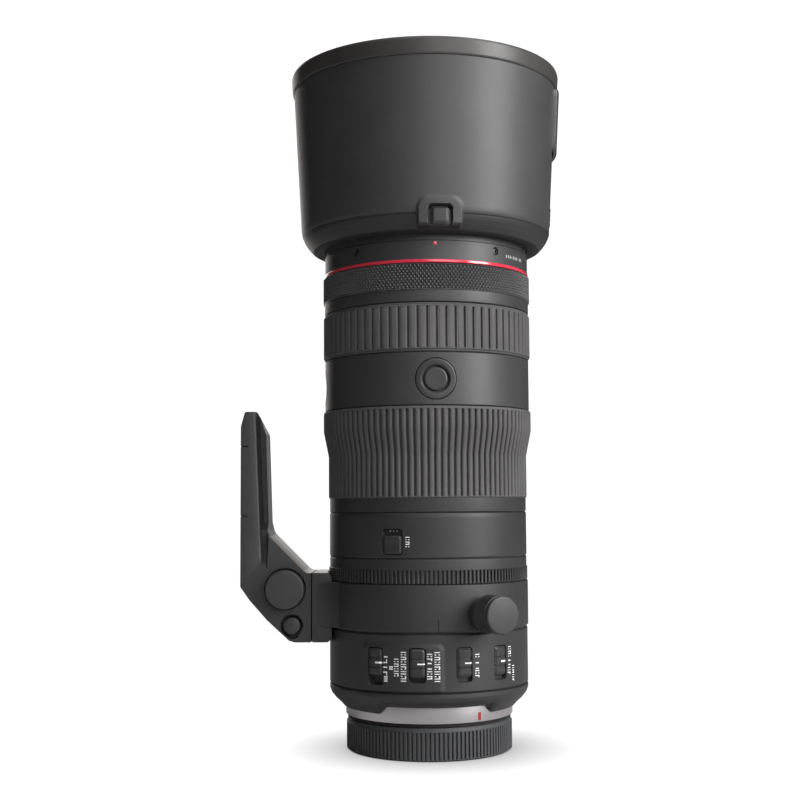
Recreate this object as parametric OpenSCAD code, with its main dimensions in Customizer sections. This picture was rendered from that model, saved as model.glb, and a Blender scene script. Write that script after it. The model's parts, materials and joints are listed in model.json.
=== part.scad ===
// Interchangeable telephoto zoom lens, standing on its rear cap, with a lens hood,
// a rotating tripod collar and a removable tripod foot.
// Units are millimetres. Z is the optical axis, z = 0 is the face it stands on,
// -Y is the switch side and -X is the tripod foot side.

/* [View] */
// Node to build; "all" builds the whole assembly

/* [Lens body] */
// Outer radius of the switch barrel
rear_r = 41.35; // [38:0.05:44]
// Outer radius of the button barrel and the front barrel
front_r = 43.15; // [41:0.05:46]
// Radius of the widest part of the zoom grip
grip_r = 43.85; // [42:0.05:47]
// Outer radius of the main tube that carries the barrels
core_r = 38; // [36:0.1:39]
// Wall of the main tube
core_wall = 1.8; // [1.2:0.1:2.4]
// Radial gap between a turning ring and the main tube
turn_gap = 0.3; // [0.25:0.05:0.5]

/* [Rear cap and mount] */
// Outer radius of the rear cap
cap_r = 34.1; // [32:0.1:36]
// Height of the rear cap
cap_h = 13.2; // [10:0.1:16]
// Number of grip ribs on the cap
cap_ribs = 120; // [60:4:160]
// Outer radius of the metal mount ring
mount_r = 34.7; // [33:0.1:36]
// Radius of the mount throat
throat_r = 27; // [25:0.5:28]
// Height of the mount plane over the base
mount_z = 14.7; // [12:0.1:18]

/* [Grips] */
// Number of ribs on the zoom grip
zoom_ribs = 100; // [60:2:140]
// Number of ribs on the focus grip
focus_ribs = 75; // [50:1:120]
// Number of teeth on the iris ring
iris_teeth = 150; // [90:2:180]
// Number of teeth on the control ring
control_teeth = 200; // [100:4:220]

/* [Switches and buttons] */
// Azimuth of the stabiliser mode switch, from -Y towards +X
stab_mode_az = -30; // [-45:1:-20]
// Azimuth of the stabiliser switch
stab_az = -6.2; // [-15:1:5]
// Azimuth of the focus mode switch
focus_mode_az = 19.8; // [12:1:28]
// Azimuth of the focus limit switch
limit_az = 43.4; // [36:1:52]
// Azimuth of the iris lock switch
iris_lock_az = -20; // [-40:1:0]
// Azimuth of the front function button
button_az = 4.8; // [-20:1:20]
// Radius of a function button
button_r = 4.85; // [4:0.05:6]

/* [Tripod collar and foot] */
// Azimuth of the collar lock knob
knob_az = 30; // [15:1:45]
// Radius of the collar lock knob
knob_r = 7.45; // [6:0.05:9]
// Half width of the foot
foot_w = 15; // [12:0.5:18]
// Distance of the foot's outer face from the axis
foot_x = 76.9; // [70:0.1:85]
// Distance of the seam between foot and collar base from the axis
seam_x = 48.1; // [46:0.1:52]

/* [Hood] */
// Outer radius at the foot of the hood's cone
hood_r0 = 53.2; // [48:0.1:56]
// Outer radius at the top of the hood's cone
hood_r1 = 56.4; // [52:0.1:60]
// Wall of the hood
hood_wall = 1.8; // [1.4:0.1:2.4]
// Azimuth of the hood release button
release_az = 6.2; // [-10:1:20]

/* [Hidden] */
$fn = 96;
eps = 0.01;
shell_ri = core_r + 0.1;          // inside of a fixed barrel
ring_ri = core_r + turn_gap;      // inside of a turning ring
core_ri = core_r - core_wall;

// heights of the joints between the barrels
z_shroud = 27.3;
z_collar0 = 50.4;
z_collar1 = 69.2;
z_iris0 = 69.6;
z_iris_teeth = 74.8;
z_iris1 = 79.2;
z_lock0 = 79.6;
z_lock1 = 97.2;
z_zoom0 = 97.5;
z_grip0 = 103.2;
z_ramp0 = 121;
z_ramp1 = 131;
z_zoom1 = 139.3;
z_button1 = 160.7;
z_focus0 = 161;
z_focus1 = 180.3;
z_control0 = 180.7;
z_knurl0 = 185.5;
z_control1 = 196;
z_red1 = 197.5;
z_front1 = 205.4;
z_lens_front = 213.7;
z_hood1 = 276.2;
z_top = 284.6;

// switch slots: azimuth, width, bottom, top, slider height, outer radius
slot_floor_r = 39.3;
panel_r = 42;
stab_mode_slot = [stab_mode_az, 6.6, 30.4, 44.9, 10.4, panel_r];
stab_slot = [stab_az, 6.6, 31.6, 44.9, 10.9, panel_r];
focus_mode_slot = [focus_mode_az, 6.6, 31.5, 44.9, 10.9, rear_r];
limit_slot = [limit_az, 6.6, 31.4, 44.7, 10.9, rear_r];
iris_lock_slot = [iris_lock_az, 8.4, 80.9, 91.2, 7.3, rear_r];

// cam slots of the cam tube: the drive pin turns through zoom_turn
zoom_turn = 75;
variator_travel = 26;
cam_steps = 10;
variator_z = 112;

// filter thread: 82 mm, 0.75 mm pitch, wall radius
filter_r = 41;

// hood taper
hood_tilt = atan((hood_r1 - hood_r0) / 60);

function polar(r, a) = [r * cos(a), r * sin(a)];

// ---- shared shapes ----

module ring(ro, ri, z0, z1) {
  translate([0, 0, z0]) difference() {
    cylinder(r = ro, h = z1 - z0);
    translate([0, 0, -1]) cylinder(r = ri, h = z1 - z0 + 2);
  }
}

// a turned part from a list of [radius, height] points
module turned(pts) rotate_extrude() polygon(pts);

// a ring sector of angle da centred on azimuth az
module sector(ro, ri, z0, z1, az, da) {
  rotate([0, 0, az - 90 - da / 2]) rotate_extrude(angle = da)
    polygon([[ri, z0], [ro, z0], [ro, z1], [ri, z1]]);
}

// outline of a ring with n straight teeth
module toothed_disc(ro, depth, n, duty) {
  p = 360 / n;
  w = p * duty / 2;
  e = p * 0.08;
  polygon([for (i = [0 : n - 1], k = [0 : 3])
    k == 0 ? polar(ro, i * p - w) :
    k == 1 ? polar(ro, i * p + w) :
    k == 2 ? polar(ro - depth, i * p + w + e) : polar(ro - depth, (i + 1) * p - w - e)]);
}

module toothed_ring(ro, ri, depth, n, duty, z0, z1) {
  translate([0, 0, z0]) linear_extrude(height = z1 - z0) difference() {
    toothed_disc(ro, depth, n, duty);
    circle(r = ri, $fn = 720);
  }
}

module rounded_rect(w, h, r) {
  square([w - 2 * r, h], center = true);
  square([w, h - 2 * r], center = true);
  for (x = [-1, 1], y = [-1, 1]) translate([x * (w / 2 - r), y * (h / 2 - r)]) circle(r = r);
}

// put children on the radial line at azimuth az and height z, +Z pointing outwards
module on_side(az, z) rotate([0, 0, az]) translate([0, 0, z]) rotate([90, 0, 0]) children();

// a rounded prism between two radii on the side of the lens
module side_prism(az, z, w, h, r, r0, r1) {
  on_side(az, z) translate([0, 0, r0]) linear_extrude(height = r1 - r0) rounded_rect(w, h, r);
}

module side_pin(az, z, r, r0, r1) {
  on_side(az, z) translate([0, 0, r0]) cylinder(r = r, h = r1 - r0);
}

module slot_cut(s) {
  side_prism(s[0], (s[2] + s[3]) / 2, s[1], s[3] - s[2], 1.6, slot_floor_r, 46);
}

// slider of a switch, at the top end of its slot, with a thumb ridge
module slider(s, top = true) {
  g = 0.3;
  h = s[4];
  z = top ? s[3] - g - h / 2 : s[2] + g + h / 2;
  difference() {
    union() {
      side_prism(s[0], z, s[1] - 2 * g, h, 1.3, slot_floor_r + 0.2, s[5] - 0.2);
      side_prism(s[0], z, s[1] - 2.2, h - 2.4, 0.9, slot_floor_r + 0.2, s[5] + 0.35);
    }
    for (i = [-1, 1]) side_prism(s[0], z + i * 1.75, s[1] - 3.2, 0.6, 0.25, s[5] - 0.15, 46);
  }
}

// a lens element: rim radius, rim from z0 to z1, sag of the lower and the upper face
function dome(r, z, sag, n = 8) = [for (i = [0 : n])
  let (t = i / n) [r * (1 - t), z + sag * (1 - pow(1 - t, 2))]];

module element(r, z0, z1, sag0, sag1) {
  rotate_extrude() polygon(concat([[0, z0 - sag0]],
    [for (i = [1 : 7]) let (t = i / 8) [r * t, z0 - sag0 * (1 - t * t)]],
    [[r, z0], [r, z1]],
    [for (i = [1 : 7]) let (t = 1 - i / 8) [r * t, z1 + sag1 * (1 - t * t)]],
    [[0, z1 + sag1]]));
}

// ---- rear cap and mount ----

module rear_cap() {
  color("#2b2b2c") {
    toothed_ring(cap_r, 31.2, 0.45, cap_ribs, 0.5, 2, 11.5);
    turned([[0, 0], [32.6, 0], [33.4, 0.8], [33.4, 2], [0, 2]]);
    turned([[31.2, 11.5], [cap_r - 0.3, 11.5], [cap_r - 0.3, cap_h - 0.4],
      [cap_r - 0.8, cap_h], [31.2, cap_h]]);
    // bayonet lugs that catch the mount's tabs
    for (i = [0 : 2]) sector(31.3, 29, 10.7, 12.6, 90 + i * 120, 42);
  }
}

module mount_ring() {
  color("#b9b6b4") difference() {
    union() {
      turned([[throat_r, 8.4], [28.4, 8.4], [28.4, mount_z], [mount_r, mount_z],
        [mount_r, 18.6], [34, 21.9], [throat_r, 21.9]]);
      for (i = [0 : 2]) sector(30.2, 27.8, 8.8, 10.3, 90 + i * 120, 46);
    }
    // red mounting mark
    side_prism(35, 16.9, 1.5, 3.2, 0.6, mount_r - 0.15, 40);
    for (i = [0 : 3]) translate([31.8 * cos(45 + 90 * i), 31.8 * sin(45 + 90 * i), 11]) {
      cylinder(r = 0.9, h = 20);
      cylinder(r = 1.7, h = 5);
    }
  }
}

module mount_screws() {
  color("#8e8c8a") for (i = [0 : 3]) translate([31.8 * cos(45 + 90 * i), 31.8 * sin(45 + 90 * i), 0])
    difference() {
      union() {
        translate([0, 0, 14.9]) cylinder(r = 1.6, h = 1.1);
        translate([0, 0, 16]) cylinder(r = 0.85, h = 8);
      }
      for (a = [0, 90]) rotate([0, 0, a]) translate([-0.9, -0.2, 14]) cube([1.8, 0.4, 1.4]);
    }
}

module mount_gasket() {
  color("#141414") ring(33.9, 33.2, cap_h + 0.25, mount_z);
}

module contact_block() {
  color("#1a1a1a") sector(throat_r - 0.1, 22.5, 8.8, 13, 180, 74);
}

module contact_pins() {
  color("#c9a24a") for (i = [0 : 11]) rotate([0, 0, 180 - 30.25 + i * 5.5])
    translate([0, -24.8, 8.2]) cylinder(r = 0.75, h = 0.6);
}

module rear_cell() {
  color("#161616") turned([[22.4, 13.4], [throat_r - 0.1, 13.4], [throat_r - 0.1, 22],
    [core_ri - 0.1, 27.5], [core_ri - 0.1, 31], [24.4, 31], [22.4, 21]]);
}

module rear_glass() {
  color("#5a6a72") element(22.3, 15, 20.8, -1.4, 2.4);
}

module rear_shroud() {
  color("#1c1c1d") difference() {
    turned([[34.9, 17.2], [35.6, 17.4], [36.9, 19.4], [39, 21.5], [40.7, 23.6],
      [rear_r, 25.4], [rear_r, z_shroud - 0.3], [core_r + 0.1, z_shroud - 0.3],
      [core_r + 0.1, 24], [34.9, 21.9]]);
    // scallop that shows more of the mount ring at the index
    rotate([0, 0, 5.5]) intersection() {
      rotate([0, 0, -90 - 37]) rotate_extrude(angle = 74)
        polygon([[30, 10], [45, 10], [45, 14], [36.9, 19.9], [34.8, 21.6], [30, 21.6]]);
      translate([0, 0, 5]) cylinder(r = 50, h = 20);
    }
  }
}

// ---- switch barrel ----

module switch_barrel() {
  color("#1c1c1d") difference() {
    union() {
      turned([[shell_ri, z_shroud + 0.2], [rear_r - 0.5, z_shroud + 0.2], [rear_r, z_shroud + 0.7],
        [rear_r, z_collar0 - 0.9], [rear_r - 0.5, z_collar0 - 0.4], [shell_ri, z_collar0 - 0.4]]);
      intersection() {
        ring(panel_r, shell_ri + 1, z_shroud + 0.8, 46.7);
        side_prism(-15.4, 33.7, 35.4, 26, 2.6, 30, 50);
      }
    }
    for (s = [stab_mode_slot, stab_slot, focus_mode_slot, limit_slot]) slot_cut(s);
  }
}

module stabilizer_mode_switch() color("#232324") slider(stab_mode_slot);
module stabilizer_switch() color("#232324") slider(stab_slot);
module focus_mode_switch() color("#232324") slider(focus_mode_slot);
module focus_limit_switch() color("#232324") slider(limit_slot);

// fixed tube that all the barrels and rings sit on
module core_tube() {
  color("#3a3b3d") difference() {
    union() {
      ring(core_r, core_ri, 24.2, 199);
      turned([[core_ri - 1.2, 176.6], [core_ri + 0.1, 176.6], [core_ri + 0.1, 178],
        [core_ri - 1.2, 178]]);
    }
    // slot that the zoom drive pin turns in
    sector(45, 30, 110.2, 115.8, 120 + zoom_turn / 2, zoom_turn + 12);
    // light window for the focus motor's wiring
    side_prism(200, 62, 10, 12, 1.5, 30, 45);
  }
}

module main_board() {
  color("#1d4a33") difference() {
    ring(core_ri - 0.2, 25.5, 40.6, 42.2);
    translate([-3, 20, 39]) cube([6, 20, 5]);
  }
}

// ---- tripod collar ----

module collar_ring() {
  color("#1d1d1e") difference() {
    union() {
      turned([[ring_ri, z_collar0], [41.1, z_collar0], [41.75, z_collar0 + 0.8],
        [41.75, z_collar1 - 0.3], [41.45, z_collar1], [ring_ri, z_collar1]]);
      // base block that the foot slides on
      difference() {
        translate([0, foot_w, 0]) rotate([90, 0, 0]) linear_extrude(height = 2 * foot_w)
          polygon([[-38.9, 50.4], [-38.9, 46], [-41, 44.6], [-seam_x + 2, 44.6], [-seam_x + 2, 47.6],
            [-seam_x, 47.6], [-seam_x, 71.6], [-seam_x + 2, 71.6], [-seam_x + 2, 74.6],
            [-41, 74.6], [-38.9, 73], [-38.9, 69.2]]);
        translate([0, 0, 40]) cylinder(r = 42.35, h = 10.4);
        translate([0, 0, z_collar1]) cylinder(r = 42.35, h = 10);
        translate([0, 0, 40]) cylinder(r = ring_ri, h = 40);
      }
      // webs that blend the block into the ring
      for (s = [-1, 1]) translate([0, 0, 50.9]) linear_extrude(height = 18)
        polygon([[-39, s * 10], [-46.9, s * (foot_w - 0.6)], [-43.2, s * 15.7],
          [-40.2, s * 17.2], [-37.6, s * 19.4], [-35, s * 22.3]]);
      // boss under the lock knob
      side_pin(knob_az, 58, 6.2, 40, 45.5);
      // dovetail rail
      translate([-seam_x - 2.6, 0, 47.6]) linear_extrude(height = 24)
        polygon([[3, -6], [0, -9], [0, 9], [3, 6]]);
    }
    side_pin(knob_az, 58, 2.1, 30, 60);
    // index line
    side_prism(5, 53, 0.5, 4.4, 0.2, 41.6, 45);
    // recess for the lock button's pin
    translate([-seam_x - 1, -10.2, 51.4]) rotate([90, 0, 0]) cylinder(r = 1.6, h = 8);
  }
}

module collar_lock_knob() {
  color("#1a1a1b") on_side(knob_az, 58) {
    translate([0, 0, 45.8]) linear_extrude(height = 11.4) toothed_disc(knob_r, 0.4, 48, 0.5);
    translate([0, 0, 57.2]) cylinder(r = knob_r - 0.25, h = 0.8);
    translate([0, 0, 58]) cylinder(r1 = knob_r - 0.3, r2 = knob_r - 1.5, h = 1.6);
    translate([0, 0, 59.6]) cylinder(r1 = knob_r - 1.5, r2 = knob_r - 2, h = 0.2);
    translate([0, 0, 39]) cylinder(r = 2, h = 7);
  }
}

// side view outline of the foot, [x, z]
foot_outline = [[-seam_x - 0.2, 44.6], [-55.2, 44.6], [-56.4, 45.1], [-foot_x, 66.8],
  [-foot_x, 133.2], [-75.3, 139.4], [-70.6, 139.4], [-68.2, 129.4], [-67.6, 92],
  [-66.4, 88.2], [-51.6, 75.2], [-50.2, 74.6], [-seam_x - 0.2, 74.6]];

module tripod_foot() {
  color("#1b1b1c") difference() {
    intersection() {
      translate([0, foot_w, 0]) rotate([90, 0, 0]) linear_extrude(height = 2 * foot_w)
        polygon(foot_outline);
      // plan outline: edges broken on the outer face
      translate([0, 0, 30]) linear_extrude(height = 120) polygon([[-foot_x - 1, -foot_w + 2.6],
        [-foot_x + 1.6, -foot_w], [-40, -foot_w], [-40, foot_w], [-foot_x + 1.6, foot_w],
        [-foot_x - 1, foot_w - 2.6]]);
    }
    // dovetail slot, open at the lower end so that the foot slides off upwards
    translate([-seam_x - 3, 0, 40]) linear_extrude(height = 31.9)
      polygon([[4, -5.9], [0, -9.9], [0, 9.9], [4, 5.9]]);
    // finger scallops on the inner side
    for (s = [-1, 1]) translate([-62.9, s * (foot_w + 1.2), 84]) rotate([0, -1.1, 0])
      cylinder(r = 6.2, h = 60);
    // tripod screw holes
    translate([-foot_x - 1, 0, 86]) rotate([0, 90, 0]) cylinder(r = 4.15, h = 8.2);
    translate([-foot_x - 1, 0, 112]) rotate([0, 90, 0]) cylinder(r = 5.75, h = 8.2);
    for (z = [76, 124]) translate([-foot_x - 1, 0, z]) rotate([0, 90, 0]) cylinder(r = 2.3, h = 4.5);
    // seats of the lock knob and the release button
    translate([-58.7, -foot_w + 2.6, 66.2]) rotate([90, 0, 0]) cylinder(r = 8.7, h = 5);
    translate([-58.7, 2, 66.2]) rotate([90, 0, 0]) cylinder(r = 2.3, h = 20);
    translate([-56, -foot_w + 8, 51.4]) rotate([90, 0, 0]) cylinder(r = 3.75, h = 20);
  }
}

module tripod_sockets() {
  color("#b3b1ae") {
    translate([-foot_x + 0.1, 0, 86]) rotate([0, 90, 0]) difference() {
      cylinder(r = 4.05, h = 7);
      translate([0, 0, -1]) cylinder(r = 3.175, h = 7.2);
    }
    translate([-foot_x + 0.1, 0, 112]) rotate([0, 90, 0]) difference() {
      cylinder(r = 5.65, h = 7);
      translate([0, 0, -1]) cylinder(r = 4.7625, h = 7.2);
    }
  }
}

module foot_lock_knob() {
  color("#1a1a1b") translate([-58.7, 0, 66.2]) rotate([90, 0, 0]) {
    translate([0, 0, foot_w - 2.2]) cylinder(r = 7.4, h = 1.6);
    translate([0, 0, foot_w - 0.6]) linear_extrude(height = 4.4) toothed_disc(8.25, 0.4, 44, 0.5);
    translate([0, 0, foot_w + 3.8]) cylinder(r1 = 8.1, r2 = 7.3, h = 0.8);
    translate([0, 0, 0]) cylinder(r = 2.2, h = foot_w);
  }
}

module foot_release_button() {
  color("#232323") translate([-56, 0, 51.4]) rotate([90, 0, 0]) {
    translate([0, 0, foot_w - 4]) cylinder(r = 3.45, h = 4.9);
    translate([0, 0, foot_w + 0.9]) cylinder(r1 = 3.45, r2 = 3.1, h = 0.3);
  }
}

// ---- iris ring and lock barrel ----

module iris_ring() {
  color("#1c1c1d") {
    toothed_ring(41.6, ring_ri, 0.4, iris_teeth, 0.5, z_iris0 + 0.3, z_iris_teeth);
    turned([[ring_ri, z_iris0], [41.1, z_iris0], [41.1, z_iris0 + 0.3], [ring_ri, z_iris0 + 0.3]]);
    turned([[ring_ri, z_iris_teeth], [41.25, z_iris_teeth], [41.25, z_iris1 - 0.3],
      [41, z_iris1], [ring_ri, z_iris1]]);
  }
}

module lock_barrel() {
  color("#1c1c1d") difference() {
    turned([[shell_ri, z_lock0], [rear_r - 0.25, z_lock0], [rear_r, z_lock0 + 0.3],
      [rear_r, z_lock1 - 0.3], [rear_r - 0.25, z_lock1], [shell_ri, z_lock1]]);
    slot_cut(iris_lock_slot);
  }
}

module iris_lock_switch() color("#232324") slider(iris_lock_slot, false);

// ---- optics and drives inside ----

module stabilizer_unit() {
  color("#2c2d2f") difference() {
    ring(core_ri - 0.2, 23.6, 48, 58);
    ring(30.6, 20, 50, 56);
    for (a = [60, 180, 300]) rotate([0, 0, a]) translate([32.6, 0, 47]) cylinder(r = 1.6, h = 12);
  }
}

module stabilizer_cell() {
  color("#3d3f42") difference() {
    ring(29.4, 17.6, 50.6, 55.4);
    for (a = [30, 150, 270]) rotate([0, 0, a]) translate([23.5, 0, 52]) cylinder(r = 3, h = 6);
  }
}

module stabilizer_glass() color("#5a6a72") element(17.5, 50.8, 54.6, 1.6, 1.4);

module iris_housing() {
  color("#2c2d2f") difference() {
    ring(core_ri - 0.2, 20.5, 61, 70);
    ring(33, 15, 63, 68);
  }
}

// eleven curved blades, each on its own level step, part closed
module iris_blades() {
  color("#0f0f10") difference() {
    intersection() {
      ring(32.6, 9, 64, 65.6);
      union() {
        for (i = [0 : 10]) rotate([0, 0, i * 360 / 11]) translate([14.2, 13, 64])
          difference() {
            cylinder(r = 26, h = 1.6);
            translate([-2, -2, -1]) cylinder(r = 15, h = 4);
          }
      }
    }
    for (i = [0 : 10]) rotate([0, 0, i * 360 / 11]) translate([29.6, 0, 60]) cylinder(r = 0.9, h = 10);
  }
}

module rod_holes(r) {
  for (a = [20, 200]) rotate([0, 0, a]) translate([28.6, 0, 40]) cylinder(r = r, h = 160);
}

module focus_frame() {
  color("#2c2d2f") difference() {
    ring(31.3, 21, 80, 90);
    rod_holes(1.58);
    ring(26, 15, 84, 92);
  }
}

module focus_glass() {
  color("#5a6a72") element(20.9, 81.2, 88, 2, 2.4);
}

module focus_motor() {
  color("#474a4d") sector(core_ri - 0.2, 31.8, 74, 99, 60, 70);
}

module guide_rods() {
  color("#a9abad") intersection() {
    rod_holes(1.5);
    ring(33, 20, 70.2, 178);
  }
}

module zoom_ring() {
  color("#1c1c1d") difference() {
    turned([[ring_ri, z_zoom0], [40.9, z_zoom0], [rear_r - 0.05, z_zoom0 + 0.4],
      [rear_r - 0.05, z_grip0], [39.9, z_grip0], [39.9, z_ramp0], [41.9, z_ramp1],
      [41.9, z_zoom1], [ring_ri, z_zoom1]]);
    side_pin(120, 113, 1.85, 37, 39.6);
  }
}

// rubber sleeve: tapered floor with straight ribs that follow the ramp
module zoom_grip() {
  color("#2a2523") difference() {
    turned([[40, z_grip0], [41.75, z_grip0], [41.75, z_ramp0], [grip_r, z_ramp1],
      [grip_r, z_zoom1], [42, z_zoom1], [42, z_ramp1], [40, z_ramp0]]);
    intersection() {
      difference() {
        translate([0, 0, z_grip0 + 0.8]) cylinder(r = 46, h = z_zoom1 - z_grip0 - 1.6);
        turned([[0, 100], [41.2, 100], [41.2, z_ramp0], [grip_r - 0.55, z_ramp1],
          [grip_r - 0.55, 141], [0, 141]]);
      }
      translate([0, 0, 100]) linear_extrude(height = 42) toothed_disc(47, 7.5, zoom_ribs, 0.22);
    }
  }
}

module zoom_drive_pin() {
  color("#b3b1ae") side_pin(120, 113, 1.8, 32, 39.5);
}

module cam_tube() {
  color("#5d6063") difference() {
    union() {
      ring(33.7, 31.8, 104, 176);
      ring(core_ri - 0.3, 33.6, 104, 107);
      ring(core_ri - 0.3, 33.6, 172, 176);
    }
    // stepped cam slot for the variator's follower
    for (i = [0 : cam_steps - 1]) {
      a = i * zoom_turn / cam_steps;
      z = variator_z + 4 + (i + 0.5) * variator_travel / cam_steps;
      sector(40, 25, z - 3.4, z + 3.4, 300 - a - zoom_turn / cam_steps / 2, zoom_turn / cam_steps + 6);
    }
    side_pin(120, 113, 1.9, 30, 36);
  }
}

module variator_frame() {
  color("#2c2d2f") {
    difference() {
      ring(31.4, 22, variator_z, variator_z + 12);
      rod_holes(1.58);
      ring(27, 15, variator_z + 5, variator_z + 14);
    }
    side_pin(300, variator_z + 4, 1.5, 29, 35);
  }
}

module variator_glass() {
  color("#5a6a72") element(21.9, variator_z + 1.5, variator_z + 9, 2.4, -1.8);
}

// ---- button barrel ----

module button_barrel() {
  color("#1c1c1d") difference() {
    turned([[shell_ri, z_zoom1 + 0.3], [front_r - 0.4, z_zoom1 + 0.3], [front_r, z_zoom1 + 0.7],
      [front_r, z_button1 - 0.3], [front_r - 0.3, z_button1], [shell_ri, z_button1]]);
    for (a = [0, -90]) {
      side_pin(button_az + a, 150, 8.2, 41.6, 46);
      side_pin(button_az + a, 150, button_r + 0.3, 39.2, 46);
    }
  }
}

module button_bezels() {
  color("#202021") for (a = [0, -90]) on_side(button_az + a, 150) difference() {
    translate([0, 0, 41.65]) rotate_extrude()
      polygon([[button_r + 0.35, 0], [8.1, 0], [8.1, 1.3], [7.6, 1.75], [button_r + 0.7, 0.9],
        [button_r + 0.35, 0.7]]);
  }
}

module function_button(a) {
  on_side(button_az + a, 150) translate([0, 0, 40.3]) rotate_extrude()
    polygon([[0, 0], [button_r, 0], [button_r, 2], [button_r - 0.5, 2.5], [0, 2.2]]);
}

module function_button_front() color("#1a1a1b") function_button(0);
module function_button_side() color("#1a1a1b") function_button(-90);

// ---- focus ring, control ring, front barrel ----

module focus_ring() {
  color("#1c1c1d") turned([[ring_ri, z_focus0], [43.2, z_focus0], [43.4, z_focus0 + 0.7],
    [42.2, z_focus0 + 0.7], [42.2, z_focus1 - 0.7], [43.4, z_focus1 - 0.7], [43.2, z_focus1],
    [ring_ri, z_focus1]]);
}

module focus_grip() {
  color("#2a2523") toothed_ring(43.8, 42.25, 0.55, focus_ribs, 0.78, z_focus0 + 0.75, z_focus1 - 0.75);
}

module control_ring() {
  color("#1c1c1d") {
    turned([[ring_ri, z_control0], [43.1, z_control0], [43.4, z_control0 + 0.3],
      [43.4, z_knurl0], [ring_ri, z_knurl0]]);
    toothed_ring(43.9, ring_ri, 0.45, control_teeth, 0.4, z_knurl0, z_control1 - 0.3);
    turned([[ring_ri, z_control1 - 0.3], [43.3, z_control1 - 0.3], [43.3, z_control1],
      [ring_ri, z_control1]]);
  }
}

module red_ring() {
  color("#c01018") turned([[42.4, z_control1 + 0.4], [43, z_control1 + 0.4],
    [43.3, z_control1 + 0.7], [43.3, z_red1 - 0.25], [43, z_red1], [42.4, z_red1]]);
}

module front_barrel() {
  color("#1c1c1d") difference() {
    turned([[shell_ri, z_control1 + 0.4], [42.3, z_control1 + 0.4], [42.3, z_red1],
      [front_r, z_red1], [front_r, z_front1 - 0.4], [front_r - 0.4, z_front1], [shell_ri, z_front1]]);
    for (a = [-40.8, 40.8, 139.2, 220.8]) side_pin(a, 202.4, 1.4, 41.9, 46);
    side_pin(4.8, 204, 0.85, front_r - 0.4, 46);
  }
}

module front_screws() {
  color("#2e2e2f") for (a = [-40.8, 40.8, 139.2, 220.8]) on_side(a, 202.4) difference() {
    translate([0, 0, 42]) cylinder(r = 1.3, h = 0.9);
    for (b = [0, 90]) rotate([0, 0, b]) translate([-0.7, -0.15, 42.5]) cube([1.4, 0.3, 1]);
  }
}

module index_dot() color("#c01018") side_pin(4.8, 204, 0.8, front_r - 0.38, front_r + 0.05);

// outside bayonet for the hood, filter thread inside
module filter_ring() {
  color("#1a1a1b") difference() {
    union() {
      turned([[38.2, z_front1], [42.9, z_front1], [42.9, z_lens_front - 0.4],
        [42.5, z_lens_front], [41.4, z_lens_front], [filter_r, z_lens_front - 0.4],
        [filter_r, 206.4], [38.2, 206.4]]);
      for (i = [0 : 2]) sector(44.3, 42.7, 210, 212, 60 + i * 120, 40);
    }
  }
}

module front_cell() {
  color("#141415") difference() {
    turned([[33.5, 187], [core_ri - 0.1, 187], [core_ri - 0.1, 199.1], [37.9, 199.1],
      [37.9, 206], [36.5, 206], [36.3, 203.4], [36.3, 199.9], [34.5, 199.9], [33.5, 195]]);
  }
}

module front_element() color("#53636c") element(36.2, 200, 203.2, -2, 2.9);
module front_inner_glass() color("#5a6a72") element(33.4, 188, 193.5, 2, 1.2);

// ---- hood ----

function hood_ro(z) = hood_r0 + (z - 217) * (hood_r1 - hood_r0) / 60;

module hood_shell() {
  color("#1c1c1d") difference() {
    union() {
      turned([[43.3, 206], [47.2, 205.8], [48.7, 207], [50.2, 209.2], [51.5, 211.3], [52.6, 213.4],
        [hood_ro(215.6), 215.6], [hood_ro(z_hood1), z_hood1], [hood_ro(z_hood1) - hood_wall, z_hood1],
        [hood_ro(217) - hood_wall, 217], [50.2, 213.6], [47.6, 209.6], [43.3, 209.4]]);
      // pocket cover that the window door slides into
      intersection() {
        pocket_shell(1.3, -1, 249.4, 277);
        window_cut(28, 249.4, 275.6);
      }
      // frame round the release button
      intersection() {
        turned([[48, 207.6], [hood_ro(222) + 0.4, 211.4], [hood_ro(222) + 0.4, 219.4], [48, 222]]);
        side_prism(release_az, 214.4, 19, 13, 4.5, 40, 60);
      }
    }
    // release button opening
    side_prism(release_az, 213.2, 8.6, 7, 0.8, 44, 60);
    // window and the pocket's hollow
    intersection() {
      pocket_shell(1.2, -hood_wall - 2, 214, 250);
      window_cut(24, 214, 249.4);
    }
    intersection() {
      pocket_shell(0.05, -1.35, 249, 275);
      window_cut(24.6, 249, 274.6);
    }
    // entry gaps for the mount's bayonet lugs
    for (i = [0 : 2]) sector(44.7, 42, 205, 209.6, 0 + i * 120, 44);
  }
}

// thin shell, leaning with the hood's cone at +X, between two offsets from its outer face
module pocket_shell(out0, in0, z0, z1) {
  translate([hood_r0, 0, 217]) rotate([0, hood_tilt, 0]) translate([-hood_r0, 0, -217])
    ring(hood_r0 + out0, hood_r0 + in0, z0 - 6, z1 + 6);
}

module window_cut(w, z0, z1) {
  translate([40, -w / 2, z0]) cube([40, w, z1 - z0]);
}

module hood_rim() {
  color("#262220") turned([[hood_ro(z_hood1) - hood_wall - 0.2, z_hood1 + 0.1],
    [56.7, z_hood1 + 0.1], [57, z_hood1 + 0.6], [57.4, z_top - 1.2], [57.1, z_top - 0.3],
    [56.3, z_top], [55.4, z_top], [54.8, z_top - 0.6]]);
}

module hood_window_door() {
  color("#1c1c1d") difference() {
    intersection() {
      pocket_shell(-0.35, -1.05, 214.4, 249);
      window_cut(23.4, 214.5, 249);
    }
  }
}

module hood_release_button() {
  color("#1f1f20") {
    side_prism(release_az, 213.2, 7.9, 6.3, 0.6, 50.4, 53.1);
  }
}

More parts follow.
